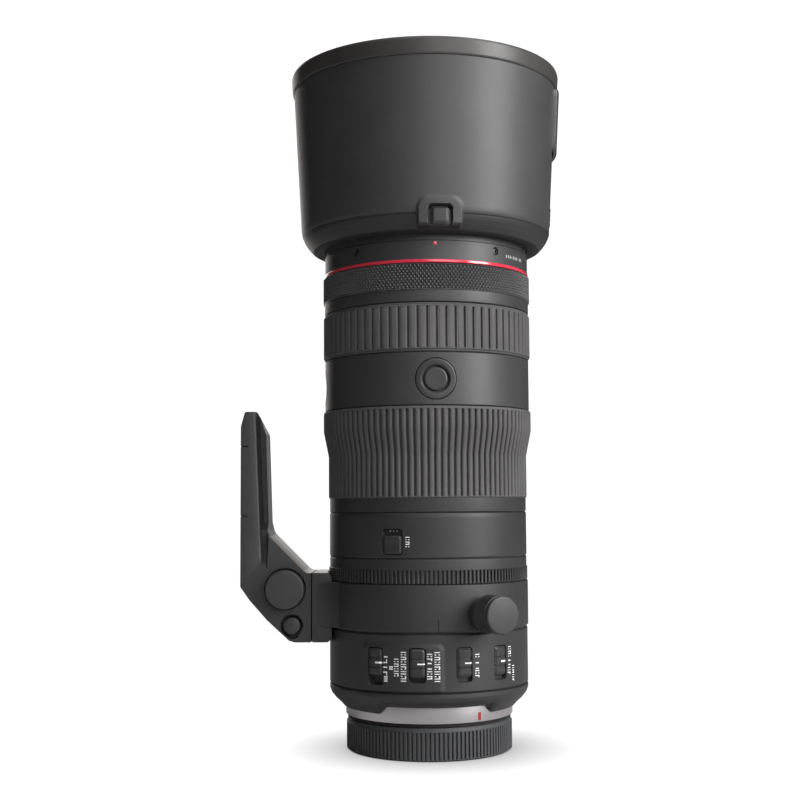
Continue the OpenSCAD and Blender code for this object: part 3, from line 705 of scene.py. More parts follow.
def build_rear():
    z0, z1, r = span("rear_cap")
    profile = [(0, -0.8), (0.24, -0.8), (0.32, -0.1), (0.40, 0), (0.84, 0), (0.93, -0.12)]
    az, relief = ribs(121, profile, 0.7, 11.4, 0.3)
    outline = fillet([(0, 0), (33.4, 0, 0.3), (33.85, 0.5, 0.2)] + rib_rows(r + 0.3, 0.7, 11.4, 0.3) +
                     [(r, 11.7, 0.2), (33.8, z1 - 0.4, 0.3), (33.2, z1, 0.2), (31.2, z1), (31.2, 2),
                      (0, 2)], 3)
    cap = turned("cap_body", [(max(a, 0.01), b) for a, b in outline], ["cap"], az, relief, keep_r=33.95)
    place(cap, "rear_cap", "cap_plastic", "rear_cap")
    add_lugs("cap_lug", (31.3, 29), 180, 21, (10.7, 12.6), "cap", "rear_cap", "cap_plastic")

    z0, z1, _ = span("mount_ring")
    points = [(27, z0), (28.4, z0), (28.4, 14.7), (34.7, 14.7, 0.25), (34.7, z1 - 0.2, 0.2), (34.4, z1),
              (27, z1)]
    band("mount_body", points, 3, "silver", ("barrel", "mount_metal", "mount_ring"), azimuths(1.5))
    add_lugs("mount_tab", (30.2, 27.8), 180, 23, (8.8, 10.3), "silver", "barrel", "mount_metal")
    put = lambda x, y, h: on_side(35, 16.9, x, y, h)
    face = lambda x, y, edge: 34.72 - x ** 2 / 70
    dot = tile("mount_mark", put, (1.5, 3.2, 0.6), 34.2, face, ["red_dull"], 9)
    place(dot, "barrel", "red_gloss")

    z0, z1, r = span("rear_shroud")
    outer = [(34.9, 17.9, 0.2), (35.6, 18.1, 0.5), (36.9, 19.6, 1.0), (39, 21.5, 1.5), (40.7, 23.6, 1.2),
             (r, 25.4, 1.0), (r, z1, 0.25), (38.1, z1), (38.1, 24), (34.9, 21.9)]

    def lift(az, z, r_here):
        """Raises the shroud's lower edge in the scallop over the mount index."""
        inside = 1 - smooth(32.6, 39.8, np.abs((az - 5.5 + 180) % 360 - 180))
        floor = np.interp(r_here, [34.9, 36.9, 39.0, 40.7], [22.0, 21.3, 22.6, 24.0])
        return inside * np.maximum(0, floor - z)
    dense = azimuths(2.0, ((-36, 47, 0.5),))
    shroud = turned("shroud", fillet(outer, 5), ["paint_low"], dense, raised=lift)
    place(shroud, "barrel", "matte_black", "rear_shroud")


# joint, body, radius of the barrel round the slot, and height of the white line
SLIDERS = {
    "stabilizer_mode_switch": ("stabilizer_mode_slide", "stab_mode", PANEL_R, 39.0),
    "stabilizer_switch": ("stabilizer_slide", "stab", PANEL_R, 38.9),
    "focus_mode_switch": ("focus_mode_slide", "focus_mode", REAR_R, 38.85),
    "focus_limit_switch": ("focus_limit_slide", "focus_limit", REAR_R, 38.6),
}


def build_switches():
    z0, z1, _ = span("switch_barrel")
    r = REAR_R
    slots = [slot_of(node, joint, 6.6, rad) for node, (joint, _, rad, _) in SLIDERS.items()]
    sink = cut_slots(slots, 39.3)

    def relief(az, z, rr):
        panel = round_box(arc(az, -15.4, 42), z - 33.7, 35.4, 26, 3.0)
        rise = 0.65 * (1 - smooth(-2.2, 0.3, panel)) * smooth(z0 + 0.3, z0 + 1.0, z)
        return rise + sink(az, z, rr + rise)
    wall = rows(r, z0 + 0.5, z1 - 0.5, 0.2)
    points = [(38.1, z0), (r - 0.5, z0, 0.2)] + wall + [(r - 0.4, z1, 0.2), (38.1, z1)]
    band("switch_body", points, 3, "paint_low", ("barrel", "matte_black", "switch_barrel"),
         azimuths(2.0, ((-38, 51, 0.16),)), relief, 40)
    for slot, (node, (_, rider, _, line)) in zip(slots, SLIDERS.items()):
        thumb(node + "_cap", node, rider, slot, line)

    def ticks(at, zs, w=1.7):
        return [(at, z, 0, w, 0.48) for z in zs]
    panel = ticks(-24.0, (39.2, 37.4, 35.5))
    panel += [(-24.0, 39.9, 0.65, 0.35, 1.3), (-24.0, 34.9, 0.65, 0.35, 1.3)]
    panel += ticks(-23.6, (41.4,), 1.5) + ticks(-20.6, (37.6, 36.8), 1.5)
    panel += ticks(-23.6, (33.7, 32.9, 32.1), 1.5)
    panel += dashes(-17.6, 33.8, 40.9, 1.9) + dashes(-13.6, 31.6, 43.6, 2.2)
    panel += dashes(0.4, 40.1, 43.0, 2.0) + ticks(0.4, (39.2, 37.1), 1.6) + dashes(0.4, 32.3, 36.3, 2.0)
    panel += dashes(4.5, 31.7, 43.6, 2.2)
    marks("panel_marks", "barrel", PANEL_R, panel)
    bare = dashes(27.3, 40.1, 42.3, 1.9) + ticks(27.2, (38.8, 36.6), 1.4) + dashes(27.2, 33.2, 36.0, 1.9)
    bare += dashes(51.2, 39.8, 44.1, 1.8) + ticks(50.9, (38.5, 36.8), 1.3) + dashes(50.6, 33.4, 35.9, 1.7)
    bare += dashes(54.6, 30.2, 36.4, 1.2, 0.9)
    marks("switch_marks", "barrel", r, bare)


# ---------------------------------------------------------------- collar and foot

def build_collar():
    z0, z1 = COLLAR_Z
    index = 5.0

    def relief(az, z, r):
        line = round_box(arc(az, index, 41.75), z - 53.1, 0.55, 4.5, 0.1)
        return -0.3 * (1 - smooth(-0.06, 0.1, line))
    points = [(38.3, z0), (41.0, z0, 0.3), (41.75, z0 + 0.8, 0.4)] + rows(41.75, z0 + 1.2, 56, 0.4)
    points += [(41.75, z1 - 0.3, 0.3), (41.4, z1, 0.2), (38.3, z1)]
    band("collar_band", points, 3, "paint_low", ("collar", "foot_metal", "collar_ring"),
         azimuths(1.5, ((3, 7, 0.15),)), relief, 41)

    seam = 47.7
    side = fillet([(-seam, 44.6, 0.3), (-seam, 72.8, 0.3), (-41.0, 72.8, 1.6), (-39.6, 71.2, 1.2),
                   (-39.6, 46.2, 1.0), (-41.2, 44.6, 0.8)], 5)
    block = prism("collar_block", side, "y", -15, 15, ["foot"], 0.7, 3, soft=lambda x, z: x > -47.3)
    carve(block, [rod("clear", "z", (0, 0), 42.3, 40, 80, n=180)])
    place(block, "collar", "foot_metal")
    curve = [(-30.4, -27.9), (-33.4, -24.4), (-36.2, -20.8), (-38.8, -17.8), (-41.2, -16.1), (-43.2, -15.35),
             (-45.2, -15.03), (-47.2, -14.9)]
    turns = [math.radians(a) for a in range(-120, -59, 6)]
    inner = [(39.4 * math.sin(a), -39.4 * math.cos(a)) for a in turns]
    plan = curve + [(x, -y) for x, y in curve[::-1]] + inner
    web = prism("collar_web", plan, "z", 50.8, 69.0, ["foot"], 0.4, 2, soft=lambda x, y: x * x + y * y > 1650,
                sharp=60)
    place(web, "collar", "foot_metal")
    dovetail = [(-50.7, -9), (-47.2, -5.5), (-47.2, 5.5), (-50.7, 9)]
    rail = prism("collar_rail", dovetail, "z", 47.6, 71.6, ["foot"])
    place(rail, "collar", "foot_metal")
    az = az_of("collar_lock_knob")
    points = [(0, 40), (6.2, 40), (6.2, 44.9), (5.9, 45.4), (0, 45.4)]
    boss = side_turned("knob_boss", az, KNOB_Z, points, ["paint_low"])
    place(boss, "collar", "foot_metal")

    def knurl(t, h, r):
        """Slanted knurling on the knob's side."""
        wave = (t * 48 / 360 + h * 0.7) % 1
        side = smooth(46.3, 46.9, h) * (1 - smooth(53.1, 53.7, h)) * (r > 7)
        return -0.5 * side * np.abs(wave - 0.5) * 2
    hs = np.arange(46.2, 53.9, 0.3)
    outline = [(0, 45.8), (7.1, 45.8), (7.45, 46.1)] + [(7.45, h) for h in hs]
    outline += [(7.4, 53.95), (7.0, 54.2), (7.0, 54.5), (7.3, 54.7), (7.38, 55.0), (7.38, 55.9), (7.25, 56.2),
                (7.0, 56.38), (6.6, 56.46), (0, 56.5)]
    knob = side_turned("collar_knob", az, KNOB_Z, outline, ["foot"], 336, knurl, sharp=40)
    place(knob, "collar_knob", "matte_black", "collar_lock_knob")


# x, z and corner radius round the foot's side
FOOT_OUTLINE = [(-48.15, 44.6, 0.2), (-54.8, 44.6, 1.5), (-57.2, 45.3, 1.5), (-66.2, 53.6, 3),
                (-73.4, 61.7, 3), (FOOT_FACE, 67.2, 1.4), (FOOT_FACE, 133.2, 1.0), (-75.6, 139.4, 1.0),
                (-70.5, 139.4, 0.8), (-67.7, 130.2, 1.0), (-66.4, 90.0, 1.0), (-65.5, 88.0, 1.0),
                (-51.2, 73.6, 1.8), (-49.8, 72.8, 1.0), (-48.15, 72.8, 0.2)]


def build_foot():
    x0 = FOOT_FACE
    outline = fillet(FOOT_OUTLINE, 4)
    foot = prism("foot_body", outline, "y", -15, 15, ["foot", "foot_shade"], 1.0, 4,
                 soft=lambda x, z: x < -48.5)
    cutters = []
    for side in (-1, 1):
        sections = []
        for z, right, out, deep in ((73.5, -66.2, 2.9, 12.7), (78.5, -66.0, 0, 12.7), (88.7, -65.6, 0, 12.7),
                                    (90.4, -60, 0, 12.2), (93.5, -60, 0, 6.0), (145, -60, 0, 6.0)):
            left = -69.02 - (z - 78.2) * 0.0422
            fall = 15 - deep
            cross = [(left - 0.5, 15.7), (left - 0.5, 15.04), (left, 14.85), (left + 0.3, 14.5),
                     (left + 0.7, 15 - 0.6 * fall), (left + 1.2, 15 - 0.85 * fall), (right - 0.4, deep),
                     (right - 0.1, deep + 0.5), (right, 15.7)]
            sections.append([(x, side * (y + out), z) for x, y in cross])
        # The groove walls are painted shade in the foot's second material; only the chamfer along the crease
        # keeps the foot's paint.
        groove = loft(f"groove_cut_{side}", sections, ["foot", "foot_shade"])
        shade = [1, 1]
        shade += [0 if i < 3 else 1 for _ in sections[1:] for i in range(len(cross)) for _ in (0, 1)]
        groove.data.polygons.foreach_set("material_index", shade)
        cutters.append(groove)
    ends = ((-16, -71.3, -60.0), (16, -74.1, -62.7))
    bevel = [[(top, y, 141), (-50, y, 141), (-50, y, 120), (low, y, 120)] for y, top, low in ends]
    cutters.append(loft("end_bevel", bevel, ["foot"]))
    # bores of the two threads, holes for the end pins, the knob's seat and its screw hole
    cutters += [rod(f"c_{z}", "x", (0, z), r, x0 - 1, x0 + 7.2) for z, r in ((86, 4.15), (112, 5.75))]
    cutters += [rod(f"c3_{z}", "x", (0, z), 2.3, x0 - 1, x0 + 3.5, n=32) for z in (76, 124)]
    cutters += [rod("c4", "y", (-58.8, 66.25), 8.6, -18, -12.4), rod("c5", "y", FOOT_KNOB, 2.3, -18, -2)]
    bx, bz = FOOT_BUTTON
    halo = [(bx + 4.7 * math.cos(t), bz + 4.7 * math.sin(t)) for t in np.radians(np.arange(-15, 225, 10))]
    halo += [(-57.6, 46.6), (-55.8, 45.8), (-53.6, 46.5)]
    # The halo recess round the button is walled in painted shade.
    recess = prism("c6", halo, "y", -18, -13.0, ["foot", "foot_shade"])
    recess.data.polygons.foreach_set("material_index", [1] * len(recess.data.polygons))
    cutters.append(recess)
    cutters.append(rod("c7", "y", FOOT_BUTTON, 3.75, -18, -7))
    for z in (125.0, 96.2):
        cutters.append(prism(f"c8_{z}", [(-78, z - 0.27), (-74.4, z - 0.27), (-74.0, z), (-74.4, z + 0.27),
                                         (-78, z + 0.27)], "y", -18, -13.8, ["foot"]))
    dovetail = [(-47, -5.9), (-51.1, -9.9), (-51.1, 9.9), (-47, 5.9)]
    cutters.append(prism("c9", dovetail, "z", 40, 71.9, ["foot"]))
    carve(foot, cutters)
    place(foot, "foot", "foot_metal", "tripod_foot")

    def thread(name, z, r_in, r_out, pitch):
        """A steel bush with a thread cut into its bore, on the foot's outer face."""
        hs = np.arange(0.3, 6.0, pitch / 6)

        def cut(t, h, r):
            return np.where(r < r_in + 0.05, 0.32 * np.abs((h / pitch - t / 360) % 1 - 0.5) * 2, 0)
        outline = [(0, -6.9), (r_out, -6.9), (r_out, 0), (r_in + 0.4, 0), (r_in - 0.3, -0.3)]
        outline += [(r_in - 0.3, -h) for h in hs] + [(r_in - 0.3, -6.2), (0, -6.2)]
        put = lambda x, y, h: np.stack([x0 + 0.1 - h, -x, z + y], -1)
        bush = spun(name, put, outline, ["steel"], 72, cut, sharp=50)
        return place(bush, "foot", "screw_metal", *(["tripod_sockets"] if z < 100 else []))
    thread("thread_small", 86, 3.175, 4.05, 1.27)
    thread("thread_large", 112, 4.7625, 5.65, 1.5875)

    def disc(name, centre, outline, rides, n=96, ripple=None):
        put = lambda x, y, h: np.stack([centre[0] + x, -h, centre[1] + y], -1)
        return place(spun(name, put, outline, ["foot"], n, ripple), *rides)

    def fine(t, h, r):
        return np.where((h > 14.9) & (h < 18.3) & (r > 7.9), -0.35 * np.abs((t * 44 / 360) % 1 - 0.5) * 2, 0)
    outline = [(0, 12.8), (7.3, 12.8), (7.4, 14.4), (7.7, 14.5), (7.95, 14.8), (7.95, 15.1), (7.95, 17.8),
               (7.95, 18.6), (7.9, 19.1), (7.75, 19.4), (7.5, 19.55), (7.1, 19.6), (0, 19.6)]
    disc("foot_knob", FOOT_KNOB, outline, ("foot_knob", "matte_black", "foot_lock_knob"), 264, fine)
    outline = [(0, 11), (3.45, 11), (3.45, 15.5), (3.3, 16.0), (2.9, 16.2), (0, 16.25)]
    disc("foot_button", FOOT_BUTTON, outline, ("foot_button", "gloss_black", "foot_release_button"))


# ---------------------------------------------------------------- rings and barrels

def build_rings():
    z0, z1, _ = span("iris_ring")
    profile = [(0, -0.8), (0.34, -0.8), (0.40, -0.1), (0.46, 0), (0.84, 0), (0.93, -0.12)]
    az, relief = ribs(148, profile, z0 + 0.1, 74.8, 0.12)
    points = [(38.3, z0), (41.3, z0)] + rib_rows(41.6, z0 + 0.1, 74.8, 0.12)
    points += [(41.25, 74.95), (41.25, z1 - 0.3, 0.2), (41.0, z1, 0.1), (38.3, z1)]
    band("iris_body", points, 3, "paint_low", ("iris", "matte_black", "iris_ring"), az, relief, 41.5)

    z0, z1, _ = span("lock_barrel")
    slot = slot_of("iris_lock_switch", "iris_lock_slide", 8.4, REAR_R)
    wall = rows(REAR_R, z0 + 0.4, 80.2, 0.4) + rows(REAR_R, 80.4, 91.8, 0.2) + rows(REAR_R, 92, z1 - 0.4, 1.5)
    points = [(38.1, z0), (41.15, z0, 0.15)] + wall + [(41.15, z1, 0.15), (38.1, z1)]
    band("lock_body", points, 3, "paint_low", ("barrel", "matte_black", "lock_barrel"),
         azimuths(2.0, ((-28, -12, 0.16),)), cut_slots([slot], 39.5), 40)
    thumb("iris_lock_cap", "iris_lock_switch", "iris_lock", slot, None)
    dots = [(slot[0], slot[3] - 0.9, x, 0.35, 0.35) for x in (-1.4, 0, 1.4)]
    marks("lock_dots", "barrel", 39.52, dots)
    marks("lock_marks", "barrel", REAR_R, dashes(-11.2, 83.2, 88.1, 1.6))

    z0, z1, _ = span("zoom_ring")
    points = [(38.3, z0), (40.9, z0, 0.2), (41.3, z0 + 0.4, 0.3), (41.3, 103.2), (39.9, 103.2), (39.9, 121),
              (41.9, 131), (41.9, z1), (38.3, z1)]
    band("zoom_body", points, 3, "paint_low", ("zoom", "matte_black", "zoom_ring"), azimuths(1.5))
    g0, g1, wide = span("zoom_grip")
    profile = [(0, -1.05), (0.20, -1.05), (0.24, -0.42), (0.31, -0.16), (0.42, -0.03), (0.56, 0.0),
               (0.72, -0.03), (0.86, -0.14), (0.96, -0.42)]
    az, relief = ribs(98, profile, g0 + 0.5, g1 - 0.9, 0.5)
    slope = [(41.75, 118.0), (41.75, 120.6), (41.85, 121.2)]
    slope += [(41.75 + (wide - 41.75) * (z - 120.8) / 10.4, z) for z in range(122, 131)]
    slope += [(wide - 0.1, 130.8), (wide, 131.6), (wide, 133.0)]
    points = [(40, g0), (41.3, g0, 0.2)] + rib_rows(41.75, g0 + 0.5, g0 + 1.6, 0.5)[:4] + slope
    points += [(wide, g1 - 0.9 - 0.5 * k / 3) for k in (3, 2, 1, 0)]
    points += [(wide - 0.15, g1, 0.3), (42, g1), (42, 131), (40, 121)]
    band("zoom_rubber", points, 3, "rubber", ("zoom", "grip_rubber", "zoom_grip"), az, relief, 41.35, 40)

    z0, z1, r = span("button_barrel")
    buttons = ("function_button_front", "fn_front"), ("function_button_side", "fn_side")
    places = [(az_of(node), FUNCTION_Z) for node, _ in buttons]
    wells = round_wells(places, r, 41.55, 8.13, 8.33)
    wall = rows(r, z0 + 0.4, 141.4, 0.6) + rows(r, 141.5, 158.6, 0.2) + rows(r, 158.8, z1 - 0.3, 0.6)
    points = [(38.1, z0), (r - 0.3, z0, 0.2)] + wall + [(r - 0.3, z1, 0.15), (38.1, z1)]
    dense = azimuths(2.0, tuple((a - 12.5, a + 12.5, 0.2) for a, _ in places))
    band("button_body", points, 3, "paint", ("barrel", "matte_black", "button_barrel"), dense, wells, 42)
    for k, ((a, zc), (node, rider)) in enumerate(zip(places, buttons)):
        outline = fillet([(5.15, 41.0), (8.05, 41.0), (8.05, 43.12, 0.15), (7.7, 43.25, 0.2),
                          (5.95, 43.2, 0.2), (5.35, 42.65, 0.15), (5.15, 42.2)], 4)
        put = lambda x, y, h: on_side(a, zc, x, y, np.sqrt(h ** 2 - x ** 2))
        bezel = spun(f"bezel_{k}", put, outline, ["gloss"], 96)
        place(bezel, "barrel", "gloss_black", *(["button_bezels"] if k == 0 else []))
        outline = fillet([(0, 40.3), (4.6, 40.3), (4.6, 42.6, 0.3), (4.1, 42.78, 0.3), (0, 42.7)], 4)
        cap = side_turned(node + "_cap", a, zc, outline, ["gloss"], 72)
        place(cap, rider, "gloss_black", node)

    z0, z1, _ = span("focus_ring")
    points = [(38.3, z0), (43.0, z0, 0.15), (43.3, z0 + 0.35, 0.2), (43.2, z0 + 0.7), (42.2, z0 + 0.7),
              (42.2, z1 - 0.7), (43.2, z1 - 0.7), (43.3, z1 - 0.35, 0.2), (43.0, z1, 0.15), (38.3, z1)]
    band("focus_body", points, 3, "rubber", ("focus", "matte_black", "focus_ring"), azimuths(1.5))
    g0, g1, _ = span("focus_grip")
    wide = 43.8
    profile = [(0, -1.0), (0.14, -1.0), (0.17, -0.3), (0.20, -0.12), (0.34, -0.12), (0.37, 0.0), (0.84, 0.0),
               (0.92, -0.14), (0.97, -0.4)]
    az, relief = ribs(72, profile, g0 + 0.5, g1 - 0.5, 0.6)
    points = [(42.25, g0), (43.45, g0, 0.2)] + rib_rows(wide, g0 + 0.5, g1 - 0.5, 0.6)
    points += [(43.45, g1, 0.2), (42.25, g1)]
    band("focus_rubber", points, 3, "rubber", ("focus", "grip_rubber", "focus_grip"), az, relief, 43.5, 40)

    z0, z1, _ = span("control_ring")
    k0, k1 = 185.5, z1 - 0.3
    pitch = 2.1
    around = 178

    def diamonds(az, z, rr):
        u = az * around / 360
        v = (z - k0) / pitch
        a = np.abs((u + v) % 1 - 0.5) * 2
        b = np.abs((u - v) % 1 - 0.5) * 2
        depth = np.maximum(a, b)
        inside = smooth(k0 + 0.1, k0 + 0.5, z) * (1 - smooth(k1 - 0.4, k1, z))
        return -0.85 * np.clip((depth - 0.22) / 0.78, 0, 1) * inside
    points = [(38.3, z0), (43.1, z0, 0.15), (43.35, z0 + 0.3, 0.15), (43.35, k0 - 0.05), (43.85, k0 + 0.1)]
    outline = fillet(points + rows(43.9, k0 + 0.2, k1, 0.165) + [(43.3, z1, 0.1), (38.3, z1)], 2)
    az = np.arange(around * 10) * 360 / (around * 10)
    ring = turned("control_body", outline, ["paint", "knurl"], az, diamonds, keep_r=43.5, sharp=60,
                  slot_of=lambda r, z: int(z > k0 and r > 43.4))
    place(ring, "control", "matte_black", "control_ring")

    z0, z1, r = span("red_ring")
    points = [(42.4, z0), (43.2, z0 - 0.15, 0.1), (r + 0.1, z0 + 0.1, 0.2), (r + 0.1, z1 - 0.15, 0.2),
              (43.2, z1 + 0.1, 0.1), (42.4, z1)]
    band("red_band", points, 3, "red", ("barrel", "red_gloss", "red_ring"), azimuths(1.0))


def build_spacers():
    """Near-black tube seen in the narrow gaps between the rings, painted shade for the gaps."""
    stack = ["rear_shroud", "switch_barrel", "collar_ring", "iris_ring", "lock_barrel", "zoom_ring",
             "button_barrel", "focus_ring", "control_ring"]
    for k, (under, over) in enumerate(zip(stack, stack[1:])):
        low = COLLAR_Z[1] if under == "collar_ring" else span(under)[1]
        high = COLLAR_Z[0] if over == "collar_ring" else span(over)[0]
        r = 41.05 if high < 130 else 42.7
        low, high = low + 0.04, high - 0.04
        tube = turned(f"gap_{k}", [(38.4, low), (r, low), (r, high), (38.4, high)], ["dark"], azimuths(2.0))
        place(tube, "barrel", "matte_black")


def build_front():
    z0, z1, r = span("front_barrel")
    screws = (-40.8, 40.8, 139.2, 220.8)
    holes = round_wells([(a, SCREW_Z) for a in screws], r, 42.0, 1.42, 1.58)
    wall = rows(r, 197.7, 200.4, 0.9) + rows(r, 200.6, 204.2, 0.15) + rows(r, 204.4, z1 - 0.3, 0.3)
    points = [(38.1, z0), (42.3, z0), (42.3, 197.5), (r, 197.55)] + wall + [(r - 0.4, z1, 0.2), (38.1, z1)]
    dense = azimuths(2.0, tuple((a - 3, a + 3, 0.18) for a in (-40.8, 40.8, 139.2, -139.2)))
    band("front_body", points, 3, "paint", ("barrel", "matte_black", "front_barrel"), dense, holes, 42.9)
    for k, a in enumerate(screws):
        outline = fillet([(0, 42.0), (1.3, 42.0), (1.3, 42.75, 0.25), (0.62, 42.85), (0.55, 42.25),
                          (0, 42.2)], 3)
        screw = side_turned(f"screw_{k}", a, SCREW_Z, outline, ["black_steel"], 24)
        place(screw, "barrel", "screw_metal", *(["front_screws"] if k == 0 else []))
    outline = fillet([(0, 42.8), (0.8, 42.8), (0.8, 43.19, 0.05), (0, 43.2)], 2)
    dot = side_turned("index_mark", 4.8, 204, outline, ["red"], 24)
    place(dot, "barrel", "red_gloss", "index_dot")
    print_marks = [(a, 201.2, 0, 0.6, 1.3) for a in (49.6, 51.6, 53.6, 56.2, 58.2, 60.2, 63.4, 65.4)]
    marks("front_marks", "barrel", 43.15, print_marks, "grey_mark")

    z0, z1, _ = span("filter_ring")

    def thread(az, z, rr):
        wave = np.abs((z / 0.75 - az / 360) % 1 - 0.5) * 2
        return np.where((rr > 40.5) & (rr < 41.02) & (z > 207) & (z < z1 - 0.5), 0.42 * wave, 0)
    bore = [(40.6, z) for _, z in rows(40.6, 207.1, z1 - 0.7, 0.125)][::-1]
    outline = [(38.2, z0), (42.9, z0), (42.9, z1 - 0.4), (42.5, z1), (41.5, z1), (41.0, z1 - 0.4)]
    outline += [(41.0, z1 - 0.5)] + bore + [(41.0, 206.9), (41.0, 206.4), (38.2, 206.4)]
    ring = turned("filter_body", outline, ["paint"], azimuths(2.0), thread, sharp=50)
    place(ring, "barrel", "matte_black", "filter_ring")
    add_lugs("hood_lug", (44.3, 42.7), 150, 20, (210, 212), "paint", "barrel", "matte_black")

    steps = []
    for k in range(4):
        steps += [(36.4 + 0.36 * k, 203.6 + 0.6 * k), (36.4 + 0.36 * k + 0.3, 203.6 + 0.6 * k)]
    outline = [(33.5, 187), (37.8, 187), (37.8, 206)] + steps[::-1]
    outline += [(36.3, 203.4), (36.3, 199.9), (34.5, 199.9), (33.5, 195)]
    place(turned("front_baffle", outline, ["flock"], azimuths(2.0)), "barrel", "matte_black", "front_cell")
    for name, node, rim, low, high, sag0, sag1, look in (
            ("front_lens", "front_element", 36.2, 200, 203.2, -2, 2.9, "front_glass"),
            ("second_lens", "front_inner_glass", 33.4, 188, 193.5, 2, 1.2, "glass")):
        t = np.linspace(0, 1, 33)
        lower = [(rim * k, low - sag0 * (1 - k * k)) for k in t]
        upper = [(rim * k, high + sag1 * (1 - k * k)) for k in t[::-1]]
        lens = solid_turned(name, lower + upper, [look], azimuths(2.5), sharp=40)
        place(lens, "barrel", "lens_glass", node)


# ---------------------------------------------------------------- hood

def hood_r(z):
    """Outer radius of the hood's cone."""
    return 53.2 + (z - 217) * 3.2 / 60


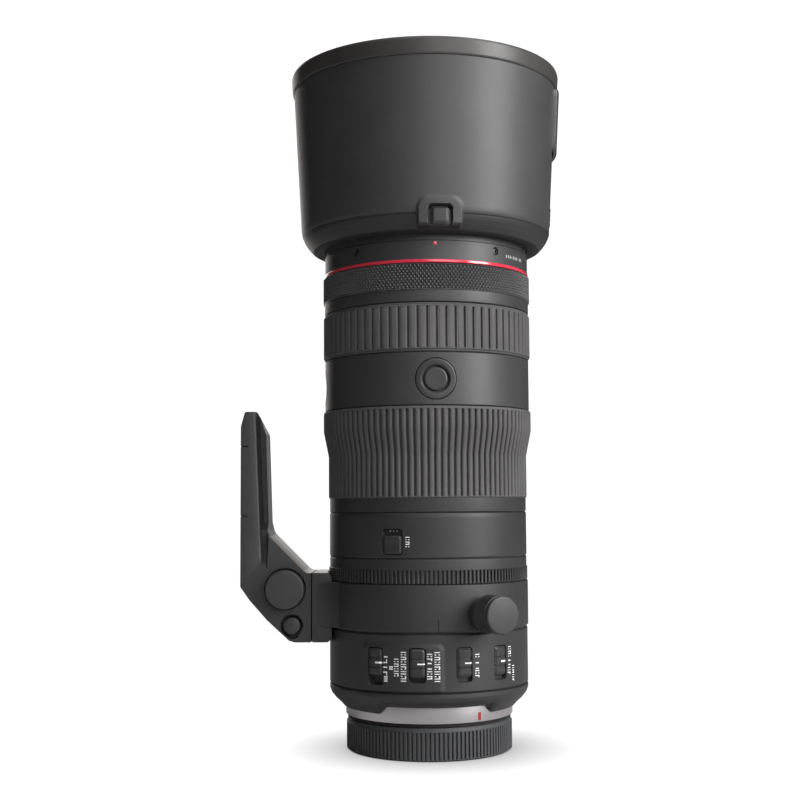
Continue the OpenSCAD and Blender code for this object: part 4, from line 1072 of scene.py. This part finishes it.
def build_hood():
    z0, z1, _ = span("hood_shell")
    az_b = az_of("hood_release_button")
    b0, b1, _ = span("hood_release_button")
    zb = (b0 + b1) / 2
    base = [(43.3, 207.8), (46.9, 207.6, 0.5), (48.7, 208.5, 0.8), (50.3, 210.2, 1.5), (51.7, 212.2, 1.8),
            (52.7, 214.4, 1.5)]
    wall = [(hood_r(z), z) for z in np.arange(216.6, 224, 0.5)]
    wall += [(hood_r(z), z) for z in (228, 236, 244, 248.8, 249.1, 249.3, 249.5, 249.8, 252, 262, 272, 274.8,
                                      275.2, 275.5, 275.8)]
    inner = [(hood_r(276) - 1.8, z1), (hood_r(217) - 1.8, 217), (50.2, 213.6, 1.0), (47.6, 209.6, 0.8),
             (43.3, 209.4)]
    curve = []
    base = fillet(base, 5)
    for a, b in zip(base[:-1], base[1:]):
        n = max(1, int(math.dist(a, b) / 0.45))
        curve += [(a[0] + (b[0] - a[0]) * k / n, a[1] + (b[1] - a[1]) * k / n) for k in range(n)]
    outline = curve + [(52.75, 214.6), (52.98, 215.6)] + wall + [(hood_r(z1), z1)] + fillet(inner, 3)

    def frame_edge(az, z):
        """Distance from the edge of the raised frame round the release button."""
        middle, width, length, corner = RELEASE_FRAME
        return round_box(arc(az, az_b, HOOD_SIDE_R), z - middle, width, length, corner)

    def relief(az, z, r):
        outside = r > np.interp(z, [207.6, 208.6, 210.3, 212.3, 214.4, 277],
                                [45.8, 47.7, 49.2, 50.5, 51.6, 55.6])
        target = np.interp(z, [207.3, 210.2, 218.2, 221.0], [49.4, 53.3, 53.95, 53.95])
        on_frame = 1 - smooth(-1.2, 0.25, frame_edge(az, z))
        rise = np.maximum(0, target - r) * on_frame * smooth(208.4, 209.6, z)
        hole = round_box(arc(az, az_b, HOOD_SIDE_R), z - zb, 9.9, 8.2, 1.8)
        sink = (51.0 - r - rise) * (1 - smooth(-0.12, 0.08, hole))
        cover = round_box(arc(az, 90, 54.5), z - 262.5, 28, 26.2, 2.0)
        bump = 1.5 * (1 - smooth(-0.35, 0.1, cover))
        return np.where(outside, rise + sink + bump, 0)
    az = azimuths(1.5, ((az_b - 11.5, az_b + 11.5, 0.22), (73, 77, 0.25), (103, 107, 0.25)))

    def inside(r, z):
        if r < np.interp(z, [205, 208.9, 209.5, 213.6, 217, 277], [43, 43, 47.7, 50.4, 51.9, 55.0]):
            return 1
        # Painted shade: the base band below z 214.8 takes the darker hood paint of slot 2.
        if z < 214.8:
            # Painted shade: the downward-facing underside close to the barrel takes the near-black material.
            return 3 if z < 208.3 and r < 48.0 else 2
        return 0
    looks = ["hood", "flock", "hood_painted_shade", "dark"]
    shell = turned("hood_body", outline, looks, az, relief, slot_of=inside, sharp=35)
    # The raised release frame is taken out of the painted shade and keeps the plain hood paint.
    for face in shell.data.polygons:
        x, y, z = face.center / MM
        on_frame = frame_edge(math.degrees(math.atan2(x, -y)), z) < 0.1
        if face.material_index == 2 and on_frame and z > 209.2:
            face.material_index = 0
    window = sector("window_cut", 60, 45, 77.2, 102.8, 214.0, 249.4, ["hood"], 8)
    pocket = sector("pocket_cut", lambda a, z: hood_r(z) + 0.12, lambda a, z: hood_r(z) - 1.35, 77.0, 103.0,
                    248.9, 275, ["hood"], 24)
    carve(shell, [window, pocket], 35)
    place(shell, "hood", "matte_black", "hood_shell")

    d0, d1, _ = span("hood_window_door")

    def door_face(a, z):
        ridge = sum(0.26 * (1 - smooth(0.35, 0.6, np.abs(z - zz))) for zz in (219, 221, 223, 225))
        return hood_r(z) - 0.35 + ridge * (np.abs(a - 90) < 8)
    door = sector("hood_door", door_face, lambda a, z: hood_r(z) - 1.05, 77.8, 102.2, d0 + 0.1, d1, ["hood"],
                  30, 140)
    place(door, "hood_door", "matte_black", "hood_window_door")

    z0, z1, _ = span("hood_rim")
    z1 -= 1.1
    points = [(hood_r(276) - 2.0, z0), (56.7, z0, 0.2), (57.05, z0 + 0.6, 0.4), (57.4, z1 - 1.4, 0.8),
              (57.1, z1 - 0.3, 0.4), (56.3, z1, 0.4), (55.4, z1, 0.4), (54.8, z1 - 0.6, 0.4)]
    band("hood_bumper", points, 4, "rim", ("hood", "grip_rubber", "hood_rim"), azimuths(1.0))

    def face(x, y, edge):
        return 52.95 + 0.05 * y - x ** 2 / 108 - 0.6 * (1 - smooth(0, 1.1, edge))
    put = lambda x, y, h: on_side(az_b, zb, x, y, h)
    button = tile("hood_button", put, (7.2, 6.8, 1.4), 50.6, face, ["gloss"], 33)
    place(button, "hood_button", "gloss_black", "hood_release_button")


# ---------------------------------------------------------------- CAD pieces shown as they are

CARRIED = {
    "mount_screws": "steel", "mount_gasket": "dark", "contact_block": "cap", "contact_pins": "gold",
    "rear_cell": "flock", "rear_glass": "glass", "core_tube": "metal_dark", "main_board": "board",
    "stabilizer_unit": "metal_dark", "stabilizer_cell": "metal_dark", "stabilizer_glass": "glass",
    "iris_housing": "flock", "iris_blades": "black_steel", "focus_frame": "metal_dark",
    "focus_glass": "glass",
    "focus_motor": "metal_dark", "guide_rods": "steel", "zoom_drive_pin": "steel", "cam_tube": "metal_dark",
    "variator_frame": "metal_dark", "variator_glass": "glass",
}


def dress_carried():
    for node, key in CARRIED.items():
        mesh = NODES[node].data
        mesh.materials.clear()
        mesh.materials.append(M[key])


# ---------------------------------------------------------------- scene

add_camera()
add_light("key", 60, 1.1, 0.62, (0.5, 1.0), 19.5)
add_light("front_fill", 20, 1.4, 0.75, (0.9, 0.9), 7)
add_light("back_fill", -168, 1.3, 0.5, (1.0, 1.0), 9, (1, 0.95, 0.92))
add_light("top", 20, 0.25, 1.2, (0.8, 0.8), 5)
add_stage()
build_rear()
build_switches()
build_collar()
build_foot()
build_rings()
build_spacers()
build_front()
build_hood()
dress_carried()
